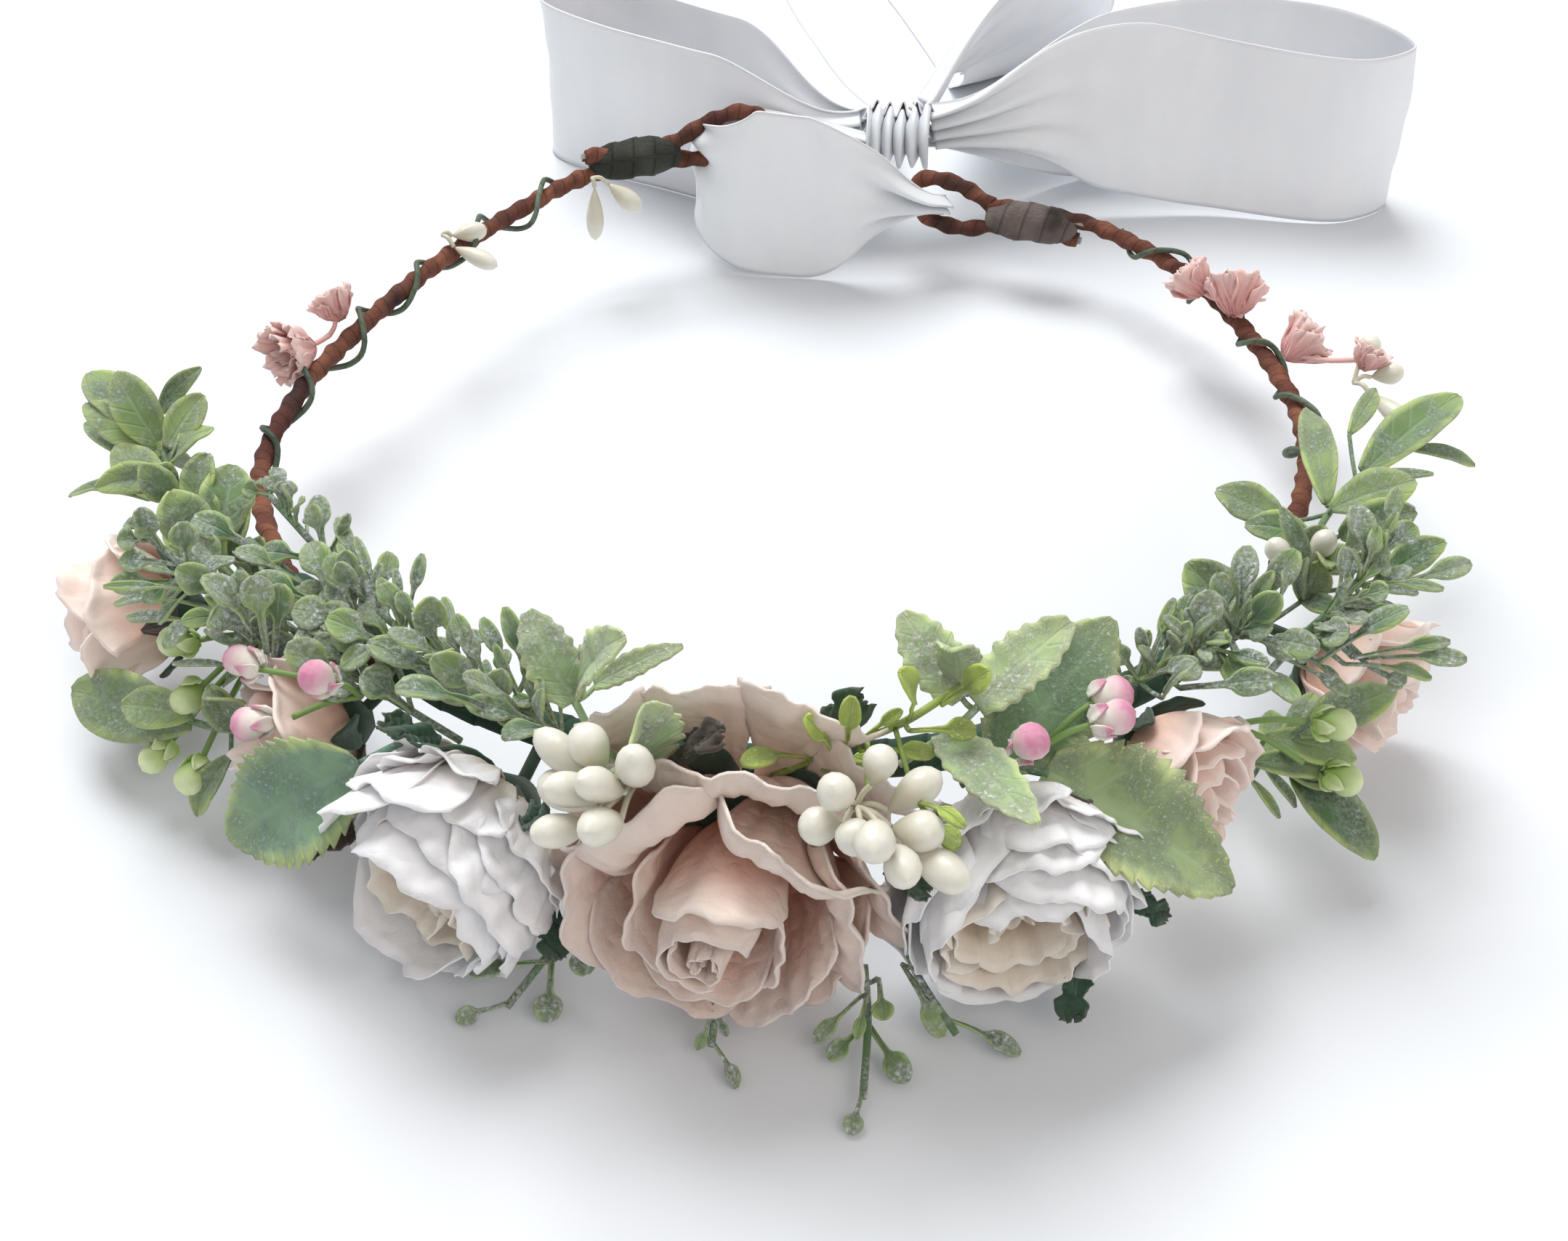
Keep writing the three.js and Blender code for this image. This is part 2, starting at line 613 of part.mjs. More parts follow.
const RIGHT_LOOP_ROUTE = [
  ...[[31.5, 12, 22], [42, 12, 24], [62, 16, 26], [92, 17, 21], [122, 12, STANDING]],
  ...[[133, 19, STANDING], [122, 33, STANDING], [92, 38, STANDING], [60, 28, STANDING]],
  ...[[42, 18, 20.5], [31, 14, 22]],
].map(behind);
const LAID = RIBBON_THICKNESS / 2; // middle of a ribbon that lies on the table
const LEFT_TAIL_ROUTE = [
  ...[[19, 18.4, 21], [14, 28, 16], [5, 44, 5], [1, 54, 1.4], [-4, 66, LAID], [-13, 92, LAID]],
  ...[[-20, 118, LAID], [-28, 150, LAID]],
].map(behind);
const RIGHT_TAIL_ROUTE = [
  ...[[29, 18.4, 23], [38, 33, 29], [50, 48, 30], [58, 60, 20], [58, 68, 8], [57, 76, 1.6]],
  ...[[54, 88, LAID], [47, 112, LAID], [40, 134, LAID], [36, 160, LAID]],
].map(behind);

// A smooth step from 0 to 1 as x goes from one edge to the other.
const ease = (x, low, high) => THREE.MathUtils.smoothstep(x, low, high);

// Width of a ribbon that is gathered over the given shares of its two ends.
function gatheredWidth(share, start, end, grow) {
  const open = Math.min(ease(share, 0, start), ease(1 - share, 0, end));
  return RIBBON_GATHERED + (RIBBON_WIDTH - RIBBON_GATHERED) * open + 2 * grow;
}

function uprightRibbon(route, steps, start, end, grow) {
  const widthAt = (share) => gatheredWidth(share, start, end, grow);
  return strip(route, steps, RIBBON_THICKNESS + 2 * grow, widthAt, () => UPRIGHT.clone());
}

function strap(grow) {
  const eyeWidth = 3;
  const widthAt = (share) => {
    const open = Math.min(ease(share, 0.34, 0.6), ease(1 - share, 0.05, 0.3));
    return eyeWidth + (RIBBON_WIDTH - eyeWidth) * open + 2 * grow;
  };
  const thickness = RIBBON_THICKNESS + 2 * grow;
  return strip(STRAP_ROUTE, 22, thickness, widthAt, () => UPRIGHT.clone());
}

// A tail lies flat: its width is level and square to its run.
function tail(route, steps, grow) {
  const open = (share) => ease(share, 0, 0.25);
  const widthAt = (share) =>
    RIBBON_GATHERED + (RIBBON_WIDTH - RIBBON_GATHERED) * open(share) + 2 * grow;
  const acrossAt = (share, tangent) => new THREE.Vector3(-tangent.y, tangent.x, 0);
  return strip(route, steps, RIBBON_THICKNESS + 2 * grow, widthAt, acrossAt);
}

const KNOT_SHAPE = [[0, -0.8], [0.6, -0.75], [0.95, -0.3], [1, 0.2], [0.6, 0.75], [0, 0.8]];
const knot = (grow) =>
  turned(
    KNOT_SHAPE.map(([across, along]) => [across * KNOT_RADIUS, along * KNOT_RADIUS]),
    10,
    KNOT,
    new THREE.Vector3(0, 1, 0),
    grow,
  );

// ---- the list of pieces --------------------------------------------------------
const COLOURS = {
  steel: [0x8f8c88, 0.4, 0.9],
  rustPaper: [0x9a5a3c, 0.9, 0],
  darkTape: [0x45423d, 0.85, 0],
  greenWire: [0x4d5a48, 0.6, 0],
  stemTape: [0x2f4534, 0.85, 0],
  blushPaper: [0xe8c3b4, 0.85, 0],
  whitePaper: [0xf1f0f5, 0.85, 0],
  creamPaper: [0xe8e0d4, 0.85, 0],
  sepalPaper: [0x2e5a40, 0.85, 0],
  berryWhite: [0xf4f3ee, 0.4, 0],
  budPink: [0xe8a9c0, 0.5, 0],
  budGreen: [0xb7cf93, 0.5, 0],
  foliage: [0x7d9a64, 0.65, 0],
  frostedFoliage: [0x7f958a, 0.8, 0],
  satin: [0xf2f3f7, 0.35, 0],
};

// Each entry: name, colour, and the function that makes its solid. A piece is cut
// back from all the pieces listed before it, so hard pieces come first.
const PIECES = [
  ['wire_core', 'steel', wireCore],
  ['paper_wrap', 'rustPaper', paperWrap],
  ['left_binding_tape', 'darkTape', (grow) => bindingTape(LEFT_TAPE_LINE, grow)],
  ['right_binding_tape', 'darkTape', (grow) => bindingTape(RIGHT_TAPE_LINE, grow)],
  ['left_vine_wire', 'greenWire', (grow) => vine(0.055, 0.27, grow)],
  ['right_vine_wire', 'greenWire', (grow) => vine(0.77, 0.945, grow)],
  ['stem_tape', 'stemTape', stemSleeve],
];

function addPiece(name, colour, make) {
  PIECES.push([name, colour, make]);
}

function addLayeredFlower(name, flower, colours, sides) {
  const layers = [['bud', BUD_SHAPE], ['inner_petals', INNER_SHAPE], ['outer_petals', OUTER_SHAPE]];
  layers.forEach(([part, shape], i) => {
    addPiece(`${name}_${part}`, colours[i], (grow) => layer(flower, shape, sides, grow));
  });
  addPiece(`${name}_calyx`, 'sepalPaper', (grow) => calyx(flower, grow));
}

addLayeredFlower('rose', CENTRE_ROSE, ['blushPaper', 'blushPaper', 'blushPaper'], 14);
for (const [side, flower] of Object.entries({ left: LEFT_PEONY, right: RIGHT_PEONY })) {
  addPiece(`${side}_peony_core`, 'creamPaper', (grow) => layer(flower, INNER_SHAPE, 10, grow));
  addPiece(`${side}_peony_petals`, 'whitePaper', (grow) => layer(flower, OUTER_SHAPE, 12, grow));
  addPiece(`${side}_peony_calyx`, 'sepalPaper', (grow) => calyx(flower, grow));
}
for (const [place, flower] of Object.entries(SPRAY_ROSES)) {
  addPiece(`${place}_spray_rose`, 'blushPaper', (grow) => layer(flower, OUTER_SHAPE, 10, grow));
  addPiece(`${place}_spray_calyx`, 'sepalPaper', (grow) => calyx(flower, grow));
}
addPiece('left_berries', 'berryWhite', (grow) => bunch(LEFT_BERRIES, grow));
addPiece('right_berries', 'berryWhite', (grow) => bunch(RIGHT_BERRIES, grow));
for (const [name, pips] of Object.entries(PIPS)) {
  const radius = 0.7 * BERRY_RADIUS;
  addPiece(name, 'berryWhite', (grow) => bunch({ ...pips, radius, sides: 4 }, grow));
}
for (const [name, buds] of Object.entries(BUDS)) {
  const colour = name.includes('rose') ? 'budPink' : 'budGreen';
  addPiece(name, colour, (grow) => bunch({ ...buds, radius: BUD_RADIUS }, grow));
}
for (const [name, spec] of Object.entries(BLOSSOMS)) {
  addPiece(name, 'budPink', (grow) => blossom(spec, grow));
}
for (const [name, spec] of Object.entries(SPRIGS)) {
  const frosted = name.includes('frosted') || name.includes('inner') || name.includes('upper');
  addPiece(name, frosted ? 'frostedFoliage' : 'foliage', (grow) => sprig(spec, grow));
}
addPiece('ribbon_strap', 'satin', strap);
addPiece('ribbon_knot', 'satin', knot);
addPiece('left_tail', 'satin', (grow) => tail(LEFT_TAIL_ROUTE, 14, grow));
addPiece('right_tail', 'satin', (grow) => tail(RIGHT_TAIL_ROUTE, 18, grow));
addPiece('left_loop', 'satin', (grow) => uprightRibbon(LEFT_LOOP_ROUTE, 26, 0.2, 0.2, grow));
addPiece('right_loop', 'satin', (grow) => uprightRibbon(RIGHT_LOOP_ROUTE, 28, 0.2, 0.2, grow));

// ---- assembly ------------------------------------------------------------------
function boxesMeet(a, b) {
  const [p, q] = [a.boundingBox(), b.boundingBox()];
  return [0, 1, 2].every((i) => p.min[i] < q.max[i] && q.min[i] < p.max[i]);
}

// The largest connected body: what is left of a leaf beyond a cut is trimmed away.
function largestBody(solid) {
  return solid.decompose().reduce((best, body) => (body.volume() > best.volume() ? body : best));
}

function geometryOf(solid) {
  const mesh = solid.getMesh();
  const geometry = new THREE.BufferGeometry();
  const positions = new Float32Array(mesh.numVert * 3);
  for (let i = 0; i < mesh.numVert; i++) {
    for (let k = 0; k < 3; k++) positions[3 * i + k] = mesh.vertProperties[i * mesh.numProp + k];
  }
  geometry.setAttribute('position', new THREE.BufferAttribute(positions, 3));
  geometry.setIndex(new THREE.BufferAttribute(new Uint32Array(mesh.triVerts), 1));
  geometry.computeVertexNormals();
  return geometry;
}

const crown = new THREE.Group();
const obstacles = [];
for (const [name, colour, make] of PIECES) {
  let solid = make(0);
  for (const obstacle of obstacles) {
    if (boxesMeet(solid, obstacle)) solid = solid.subtract(obstacle);
  }
  const [color, roughness, metalness] = COLOURS[colour];
  const material = new THREE.MeshStandardMaterial({ color, roughness, metalness });
  const mesh = new THREE.Mesh(geometryOf(largestBody(solid)), material);
  mesh.name = name;
  crown.add(mesh);
  obstacles.push(make(FIT_GAP));
}

export default crown;
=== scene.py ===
import math

import bpy
import numpy as np
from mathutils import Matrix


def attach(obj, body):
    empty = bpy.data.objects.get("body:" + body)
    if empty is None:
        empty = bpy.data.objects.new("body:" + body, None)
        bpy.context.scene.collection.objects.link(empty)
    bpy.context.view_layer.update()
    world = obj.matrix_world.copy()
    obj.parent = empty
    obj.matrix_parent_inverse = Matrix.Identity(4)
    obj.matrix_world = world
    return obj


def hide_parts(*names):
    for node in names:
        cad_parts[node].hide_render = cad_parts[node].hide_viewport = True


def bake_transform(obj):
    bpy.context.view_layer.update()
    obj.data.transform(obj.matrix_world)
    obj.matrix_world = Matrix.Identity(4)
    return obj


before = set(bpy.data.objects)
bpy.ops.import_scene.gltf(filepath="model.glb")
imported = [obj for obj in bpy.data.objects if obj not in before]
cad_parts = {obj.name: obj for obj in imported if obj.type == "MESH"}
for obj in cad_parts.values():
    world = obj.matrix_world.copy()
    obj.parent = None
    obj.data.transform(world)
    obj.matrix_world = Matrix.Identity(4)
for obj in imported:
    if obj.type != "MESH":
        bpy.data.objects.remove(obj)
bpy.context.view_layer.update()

bl_info = {
    "name": "Flower crown",
    "version": (1, 0, 0),
    "blender": (4, 5, 0),
    "location": "3D View > Sidebar > Crown",
    "description": "Detailed look of a flower crown around its CAD frame",
    "category": "Object",
}


MM = 0.001  # shapes are worked out in millimetres and stored in metres

# ---- sizes, in millimetres -----------------------------------------------------
RING = 90.0  # nominal ring radius, from the middle of the head opening
CORD = 1.6  # radius of the paper-wrapped wire
CORD_LAY = 5.2  # how far apart its two twisted strands lie along it
CORD_STRIP = 2.6  # how far the paper strip climbs in one turn
TAPE = 4.1  # radius of a binding tape
TAPE_HALF = 9.5  # half the length of a binding tape
TAPE_STRIP = 4.4  # how far the tape climbs in one turn
SLEEVE_RADIUS = 2.75  # the tape that binds the stems
SLEEVE_STRIP = 6.0
VINE = 0.55  # radius of the green wire
VINE_COIL = 2.5  # radius of its turns round the ring
VINE_PITCH = 17.0
STEM = 0.6  # radius of a sprig's stem
STALK = 0.45  # radius of a stalk
BUD = 2.55  # radius of a bud
BUD_LENGTH = 6.5
BLOSSOM = 5.5  # radius of a full blossom
RIBBON = 38.0
GATHER = 9.0  # width of the ribbon where the knot gathers it
EYE_GATHER = 3.5  # width of the ribbon where it passes an eye
KNOT_WIDTH = 13.0
STAND = 19.2  # middle height of a ribbon that stands on the table
LAID = 0.3  # height of a ribbon that lies on it

# ---- places --------------------------------------------------------------------


def at(places):
    """Points from [degrees round the ring, millimetres outside it, height]."""
    p = np.asarray(places, float)
    turn, out = np.radians(p[..., 0]), RING + p[..., 1]
    return np.stack([out * np.cos(turn), out * np.sin(turn), p[..., 2]], -1)


def behind(places):
    """Points from [x, millimetres behind the ring, height]."""
    return np.asarray(places, float) + [0, RING, 0]


# The wire from its left eye round the front to its right eye.
RING_POINTS = np.vstack([
    behind([(-21, -2.6, 24.4), (-30, -5, 24), (-39, -8.4, 24)]),
    at([(128, -4, 24), (143, -7, 24), (158, -7, 24), (174, -2.5, 23), (190, 1, 23)]),
    at([(214, 0, 25), (240, -3, 27), (270, -5, 26), (300, -4, 25), (326, -2, 21)]),
    at([(350, 0.5, 18), (6, 4.5, 16), (22, 6, 16), (36, 8, 16), (50, 8, 16)]),
    behind([(59, -13, 16), (51, -10, 16), (42, -7.6, 16.4)]),
])
# The two eyes that the ends of the wire are bent into.
LEFT_EYE = behind([
    (-22, -3, 24.2), (-14, -0.8, 23.4), (-6, 2.2, 24.6), (-3, 3.4, 28), (-8, 2.6, 32),
    (-16, -0.6, 31), (-23, -3, 27.9), (-30, -5, 27.6), (-41, -9, 28),
])
RIGHT_EYE = behind([
    (43, -8, 16.3), (36, -4, 18.8), (29, -1.5, 18.6), (26.5, -2.4, 15.5), (30, -5.4, 12),
    (37, -8.6, 11.2), (44, -9.6, 12.4), (51, -10.6, 12.4), (61, -15, 12.2),
])
# The middle lines of the binding tapes and of the tape round the stems.
LEFT_TAPE_LINE = behind([(-39.5, -7.9, 25.8), (-21.5, -2.9, 26)])
RIGHT_TAPE_LINE = behind([(59.5, -13.5, 14.2), (42.5, -8.8, 14.2)])
SLEEVE = at([(210, 0.4, 24.6), (240, -3, 27), (270, -5, 26), (300, -4, 25), (328, -1.8, 20.8)])

# Each flower: base, the place it faces, radius, depth and where its stalk starts.
FLOWERS = {
    "rose": ((-93.5, 3, 23), (-95.5, 33, 23.5), 23, 30, (-93, -3, 26)),
    "left_peony": ((-114, 7, 22), (-118, 31, 18), 17.5, 24, (-114, -2, 26)),
    "right_peony": ((-71.5, 8, 24), (-74, 32, 19), 17.5, 24, (-70, -3, 25)),
    "left_inner_spray": ((-133, 6, 20), (-138, 24, 20), 12.5, 19, (-132, -2, 25.4)),
    "left_outer_spray": ((-156, 16, 18), (-160, 35, 18), 12.5, 19, (-152, 1, 24)),
    "right_inner_spray": ((-57, 5, 26), (-56, 23, 24), 12.5, 19, (-57, -3, 24)),
    "right_outer_spray": ((-31, 9, 18), (-33, 28, 16), 12.5, 19, (-33, -1, 21)),
}
# Torn scraps of green felt round the flowers: [base, tip, width].
SCRAPS = {
    "rose": [
        ((-98, 9, 43), (-94, 12, 50), 6.5), ((-87, 6, 44), (-83, 8, 53), 7),
        ((-83, 24, 36), (-80, 28, 33), 5),
    ],
    "left_peony": [
        ((-119, 12, 34), (-124, 15, 38), 6), ((-124, 22, 20), (-128, 28, 16), 6),
        ((-109, 18, 34), (-106, 22, 38), 6), ((-108, 20, 16), (-106, 26, 12), 6),
    ],
    "right_peony": [
        ((-69, 28, 11), (-71, 33, 4), 6), ((-64, 24, 17), (-61, 27, 11), 5),
    ],
}
# Bunches: where the stalks start, the bead radius, then each bead's foot and tip.
BERRIES = {
    "left_berries": ((-101, 16, 42), 2.6, [
        ((-103, 18, 43), (-109, 14, 47)), ((-103, 20, 41), (-108, 18, 42)),
        ((-102, 20, 44), (-106, 25, 49)), ((-101, 21, 46), (-103, 27, 54)),
        ((-100, 19, 46), (-100, 23, 56)), ((-103, 23, 41), (-106, 30, 45)),
        ((-101, 23, 43), (-102, 32, 50)), ((-103, 17, 45), (-105, 16, 52)),
    ]),
    "right_berries": ((-85, 20, 44), 2.6, [
        ((-83, 22, 45), (-79, 19, 48)), ((-86, 22, 47), (-87, 25, 54)),
        ((-86, 23, 44), (-89, 25, 46)), ((-84, 27, 48), (-85, 36, 53)),
        ((-83, 25, 45), (-80, 29, 47)), ((-83, 28, 45), (-83, 37, 48)),
        ((-82, 27, 43), (-79, 35, 43)), ((-84, 20, 48), (-83, 19, 54)),
        ((-85, 25, 46), (-86, 31, 49)),
    ]),
    "left_pips": ((141, -5, 27.5), 1.9, [
        ((140, -6, 27), (135, -8, 26)), ((141, -8, 26), (139, -17, 24)),
    ]),
    "left_back_pips": ((117, -5, 26.6), 1.9, [
        ((117, -6, 25), (118, -8, 14)), ((115, -6, 25), (111, -9, 19)),
    ]),
    "right_pips": ((-30, 4, 30), 1.9, [
        ((-31, 3, 32), (-33, 0, 38)), ((-29, 5, 31), (-27, 7, 36)),
    ]),
    "right_back_pips": ((6, 13, 24), 1.9, [
        ((4, 15, 24), (-1, 20, 24)), ((6, 16, 25), (6, 22, 26)), ((8, 15, 26), (9, 18, 30)),
    ]),
}
# Buds: where the stalks start, then the foot and the tip of each bud.
BUDS = {
    "left_green_buds": ((-147, 8, 22), [
        ((-147, 17, 25), (-149, 24, 26)), ((-146, 18, 20), (-145, 26, 18)),
        ((-146, 23, 13), (-145, 33, 9)), ((-143, 23, 12), (-141, 30, 9)),
    ]),
    "left_rose_buds": ((-129, 9, 32), [
        ((-135, 15, 33), (-140, 19, 34)), ((-129, 12, 36), (-130, 17, 42)),
        ((-130, 13, 31), (-135, 25, 30)),
    ]),
    "right_rose_buds": ((-69, 10, 38), [
        ((-72, 13, 42), (-71, 16, 48)), ((-67, 11, 41), (-62, 14, 44)),
        ((-65, 6, 40), (-60, 9, 42)),
    ]),
    "right_green_buds": ((-49, 12, 26), [
        ((-47, 16, 28), (-43, 26, 28)), ((-48, 17, 24), (-43, 29, 17)),
    ]),
}
# Blossoms: foot of the stalk, base, the place it faces, and its share of full size.
BLOSSOMS = {
    "left_blossom": [
        ((164, -3, 25), (167, -1, 25), (174, 9, 29), 1.0),
        ((164, -3, 25), (161, -3, 26), (160, 1, 32), 0.75),
    ],
    "right_blossom": [
        ((24, 6, 18.6), (25, 5, 19), (28, 9, 24), 1.0),
        ((28, 6, 18), (30, 3, 19), (34, 1, 24), 0.8),
    ],
    "right_back_blossom": [
        ((15, 7, 18.6), (15, 7, 20), (15, 14, 25), 1.0),
        ((15, 7, 20), (7, 15, 26), (8, 18, 31), 0.6),
    ],
}
# Sprigs: kind of leaf, the stem, and each leaf as base, tip and width.
SPRIGS = {
    "left_boxwood_sprig": ("boxwood", [(-154, 6, 24), (-161, 12, 32), (-169, 16, 36)], [
        ((-169, 16, 35), (-177, 28, 38), 9.2), ((-173, 16, 35), (-173, 8, 44), 3.6),
        ((-167, 14, 36), (-170, 7, 42), 6.0), ((-168, 18, 32), (-177, 31, 28), 3.8),
        ((-163, 18, 32), (-169, 32, 26), 4.6), ((-161, 16, 34), (-168, 22, 36), 7.2),
        ((-160, 14, 35), (-161, 18, 42), 5.2), ((-155, 14, 32), (-158, 14, 40), 8.6),
        ((-156, 9, 30), (-163, 4, 36), 8.3), ((-155, 7, 27), (-158, 3, 34), 3.0),
        ((-152, 10, 28), (-154, 9, 38), 4.6), ((-153, 11, 30), (-158, 17, 32), 4.7),
    ]),
    "left_frosted_sprig": (
        "spoon", [(-139, 11, 26), (-143, 13, 34), (-147, 17, 40), (-151, 21, 44)], [
            ((-151, 20, 42), (-151, 25, 44), 3.1), ((-147, 17, 40), (-148, 16, 48), 3.7),
            ((-147, 17, 38), (-150, 28, 38), 3.1), ((-144, 14, 34), (-152, 28, 32), 1.8),
            ((-143, 14, 32), (-152, 27, 28), 1.8), ((-140, 14, 35), (-142, 18, 46), 4.7),
            ((-140, 14, 34), (-142, 17, 40), 6.5), ((-138, 14, 34), (-141, 11, 44), 4.3),
            ((-138, 13, 32), (-140, 8, 42), 3.7),
        ]),
    "left_inner_sprig": (
        "spoon",
        [(-110, 3, 34), (-121, 0, 36), (-132, -1, 38), (-142, -2, 38), (-155, 0, 38)], [
            ((-152, -1, 38), (-155, -1, 42), 3.2), ((-142, -1, 38), (-148, -5, 44), 2.9),
            ((-142, -2, 38), (-149, 5, 36), 3.4), ((-136, -3, 37), (-145, -6, 42), 2.0),
            ((-132, -2, 36), (-141, -6, 42), 1.4), ((-130, -2, 36), (-133, -2, 44), 2.1),
            ((-126, -2, 36), (-125, -1, 48), 4.0), ((-121, 1, 37), (-127, 5, 44), 3.1),
            ((-115, 3, 38), (-119, 10, 50), 4.0), ((-115, 6, 38), (-121, 15, 46), 4.6),
            ((-115, 0, 36), (-121, -5, 44), 2.1), ((-114, -1, 36), (-118, -5, 48), 2.3),
            ((-113, -2, 35), (-118, -8, 42), 2.1), ((-114, 3, 36), (-115, 13, 52), 3.3),
        ]),
    "left_outer_leaves": ("boxwood", [(-138, 12, 18), (-141, 20, 17), (-145, 25, 16)], [
        ((-144, 24, 16), (-155, 37, 10), 10.8), ((-144, 24, 18), (-148, 32, 18), 6.8),
        ((-140, 22, 14), (-140, 30, 6), 4.8), ((-140, 20, 18), (-142, 21, 26), 5.5),
        ((-140, 18, 20), (-139, 24, 30), 5.4),
    ]),
    "left_serrated_leaf": ("blue", [(-122, 7, 31), (-125, 17, 29)], [
        ((-125, 17, 29), (-133, 31, 14), 17.1),
    ]),
    "left_felt_leaves": ("felt", [(-102, 6, 34), (-105, 7, 38), (-109, 1, 40)], [
        ((-109, 1, 40), (-115, -4, 50), 7.8), ((-103, 12, 40), (-100, 15, 57), 13),
        ((-108, -3, 40), (-100, -6, 48), 3.7), ((-109, 0, 42), (-104, 3, 57), 8),
    ]),
    "centre_light_sprig": ("bright", [(-91, 5, 34), (-85, 7, 42), (-80, 7, 46), (-75, 4, 48)], [
        ((-88, 7, 40), (-93, 13, 46), 2.9), ((-86, 9, 42), (-88, 11, 52), 2.9),
        ((-85, 9, 44), (-85, 12, 56), 2.5), ((-80, 7, 46), (-81, 12, 60), 3.8),
        ((-77, 6, 47), (-74, 10, 56), 3.3), ((-80, 9, 46), (-75, 11, 46), 2.8),
        ((-84, 8, 42), (-78, 10, 42), 2.2), ((-87, 7, 38), (-86, 17, 44), 1.9),
        ((-81, 22, 46), (-79, 29, 44), 2.8), ((-81, 22, 46), (-79, 30, 50), 1.7),
        ((-84, 17, 44), (-83, 18, 50), 2.1),
    ]),
    "right_felt_leaves": ("felt", [(-80, 4, 34), (-75, 4, 40), (-73, 3, 42)], [
        ((-74, 1, 42), (-78, -10, 50), 7.8), ((-73, 3, 42), (-64, 2, 52), 9.3),
        ((-77, 7, 42), (-74, 29, 46), 7.4), ((-74, 0, 42), (-77, 7, 60), 5.8),
    ]),
    "right_rose_leaves": ("rose", [(-75, 7, 31), (-72, 8, 34), (-69, 13, 36)], [
        ((-69, 12, 36), (-59, 33, 22), 18.0), ((-72, 8, 34), (-58, -1, 46), 15.7),
    ]),
    "right_inner_sprig": ("spoon", [(-65, 1, 32), (-56, 2, 34), (-50, 4, 36), (-46, 7, 38)], [
        ((-46, 7, 38), (-42, 2, 48), 3.4), ((-44, 7, 38), (-41, 9, 50), 3.8),
        ((-46, 8, 38), (-46, 20, 44), 3.7), ((-51, 6, 36), (-48, 3, 46), 4.0),
        ((-55, 2, 34), (-49, -2, 42), 1.6), ((-55, 1, 34), (-53, -1, 40), 1.3),
        ((-53, 2, 35), (-51, 4, 42), 1.9), ((-56, 8, 36), (-56, 12, 46), 3.3),
        ((-54, 8, 36), (-51, 20, 44), 3.5), ((-46, 7, 34), (-49, 22, 38), 3.1),
        ((-50, 5, 36), (-53, 1, 44), 1.9), ((-44, 7, 38), (-45, 9, 50), 2.1),
        ((-43, 8, 38), (-44, 10, 50), 1.9),
    ]),
    "right_upper_sprig": ("spoon", [(-45, 12, 32), (-42, 14, 38), (-40, 16, 42), (-34, 17, 44)], [
        ((-40, 16, 42), (-38, 14, 50), 1.6), ((-39, 17, 42), (-38, 22, 46), 2.8),
        ((-37, 17, 43), (-34, 16, 50), 1.9), ((-36, 17, 43), (-34, 12, 52), 3.9),
        ((-34, 17, 44), (-31, 20, 48), 3.3), ((-43, 18, 36), (-39, 26, 46), 3.4),
        ((-42, 22, 38), (-37, 32, 40), 1.9), ((-41, 23, 37), (-37, 35, 38), 2.5),
        ((-42, 21, 36), (-39, 32, 36), 1.9), ((-40, 24, 34), (-40, 29, 34), 3.2),
        ((-36, 18, 40), (-28, 29, 40), 2.9), ((-43, 15, 38), (-43, 21, 44), 4.2),
    ]),
    "right_boxwood_sprig": ("boxwood", [(-31, 6, 26), (-24, 4, 30), (-14, 8, 30)], [
        ((-13, 9, 30), (-1, 27, 30), 8.3), ((-7, 17, 28), (-5, 30, 22), 2.8),
        ((-21, 5, 32), (-16, 17, 34), 7.3), ((-19, 4, 30), (-4, 0, 32), 5.7),
        ((-7, 7, 30), (1, 14, 30), 3.3), ((-20, -2, 26), (-19, -14, 28), 6.8),
        ((-41, 4, 30), (-41, -8, 38), 8.7), ((-26, 8, 34), (-24, 18, 40), 7.0),
        ((-30, 17, 34), (-28, 24, 42), 5.8), ((-31, 6, 32), (-29, -1, 40), 3.4),
        ((-30, 10, 34), (-29, 10, 44), 6.7),
    ]),
    "right_low_leaves": ("boxwood", [(-50, 14, 22), (-45, 18, 16)], [
        ((-44, 19, 14), (-44, 35, 7), 8.6), ((-48, 16, 16), (-47, 21, 10), 1.6),
        ((-47, 17, 18), (-45, 22, 10), 1.6), ((-47, 16, 24), (-41, 26, 18), 5.5),
        ((-45, 19, 24), (-37, 26, 26), 6.8),
    ]),
    "front_hanging_sprig": ("spoon", [(-84, 20, 10), (-84, 25, 4), (-85, 37, 2)], [
        ((-85, 36, 2), (-86, 42, 1), 2.8), ((-84, 25, 3), (-82, 35, 2), 3.7),
        ((-84, 25, 3), (-87, 30, 2), 2.7), ((-84, 22, 6), (-88, 28, 3), 2.3),
        ((-84, 23, 7), (-85, 29, 5), 1.7), ((-83, 21, 8), (-83, 27, 6), 3.1),
    ]),
    "front_left_hanging_sprig": ("spoon", [(-106, 15, 14), (-108, 19, 7), (-110, 28, 2)], [
        ((-108, 21, 6), (-113, 27, 6), 2.9), ((-110, 28, 3), (-113, 32, 1), 2.7),
        ((-108, 20, 5), (-107, 28, 1), 4.0), ((-107, 16, 10), (-105, 21, 5), 3.8),
    ]),
    "front_right_hanging_sprig": ("spoon", [(-81, 19, 14), (-80, 22, 8), (-78, 29, 3)], [
        ((-79, 26, 4), (-74, 33, 1), 2.7), ((-81, 19, 8), (-79, 29, 3), 3.3),
    ]),
}
# A second stem of the front hanging sprig, with its leaves.
MIDDLE_SPRIG = ([(-96, 21, 10), (-95, 25, 5), (-95, 29, 3)], [
    ((-95, 28, 3), (-93, 34, 1), 2.1), ((-95, 25, 6), (-96, 29, 2), 1.6),
    ((-95, 24, 6), (-94, 27, 3), 1.2),
])
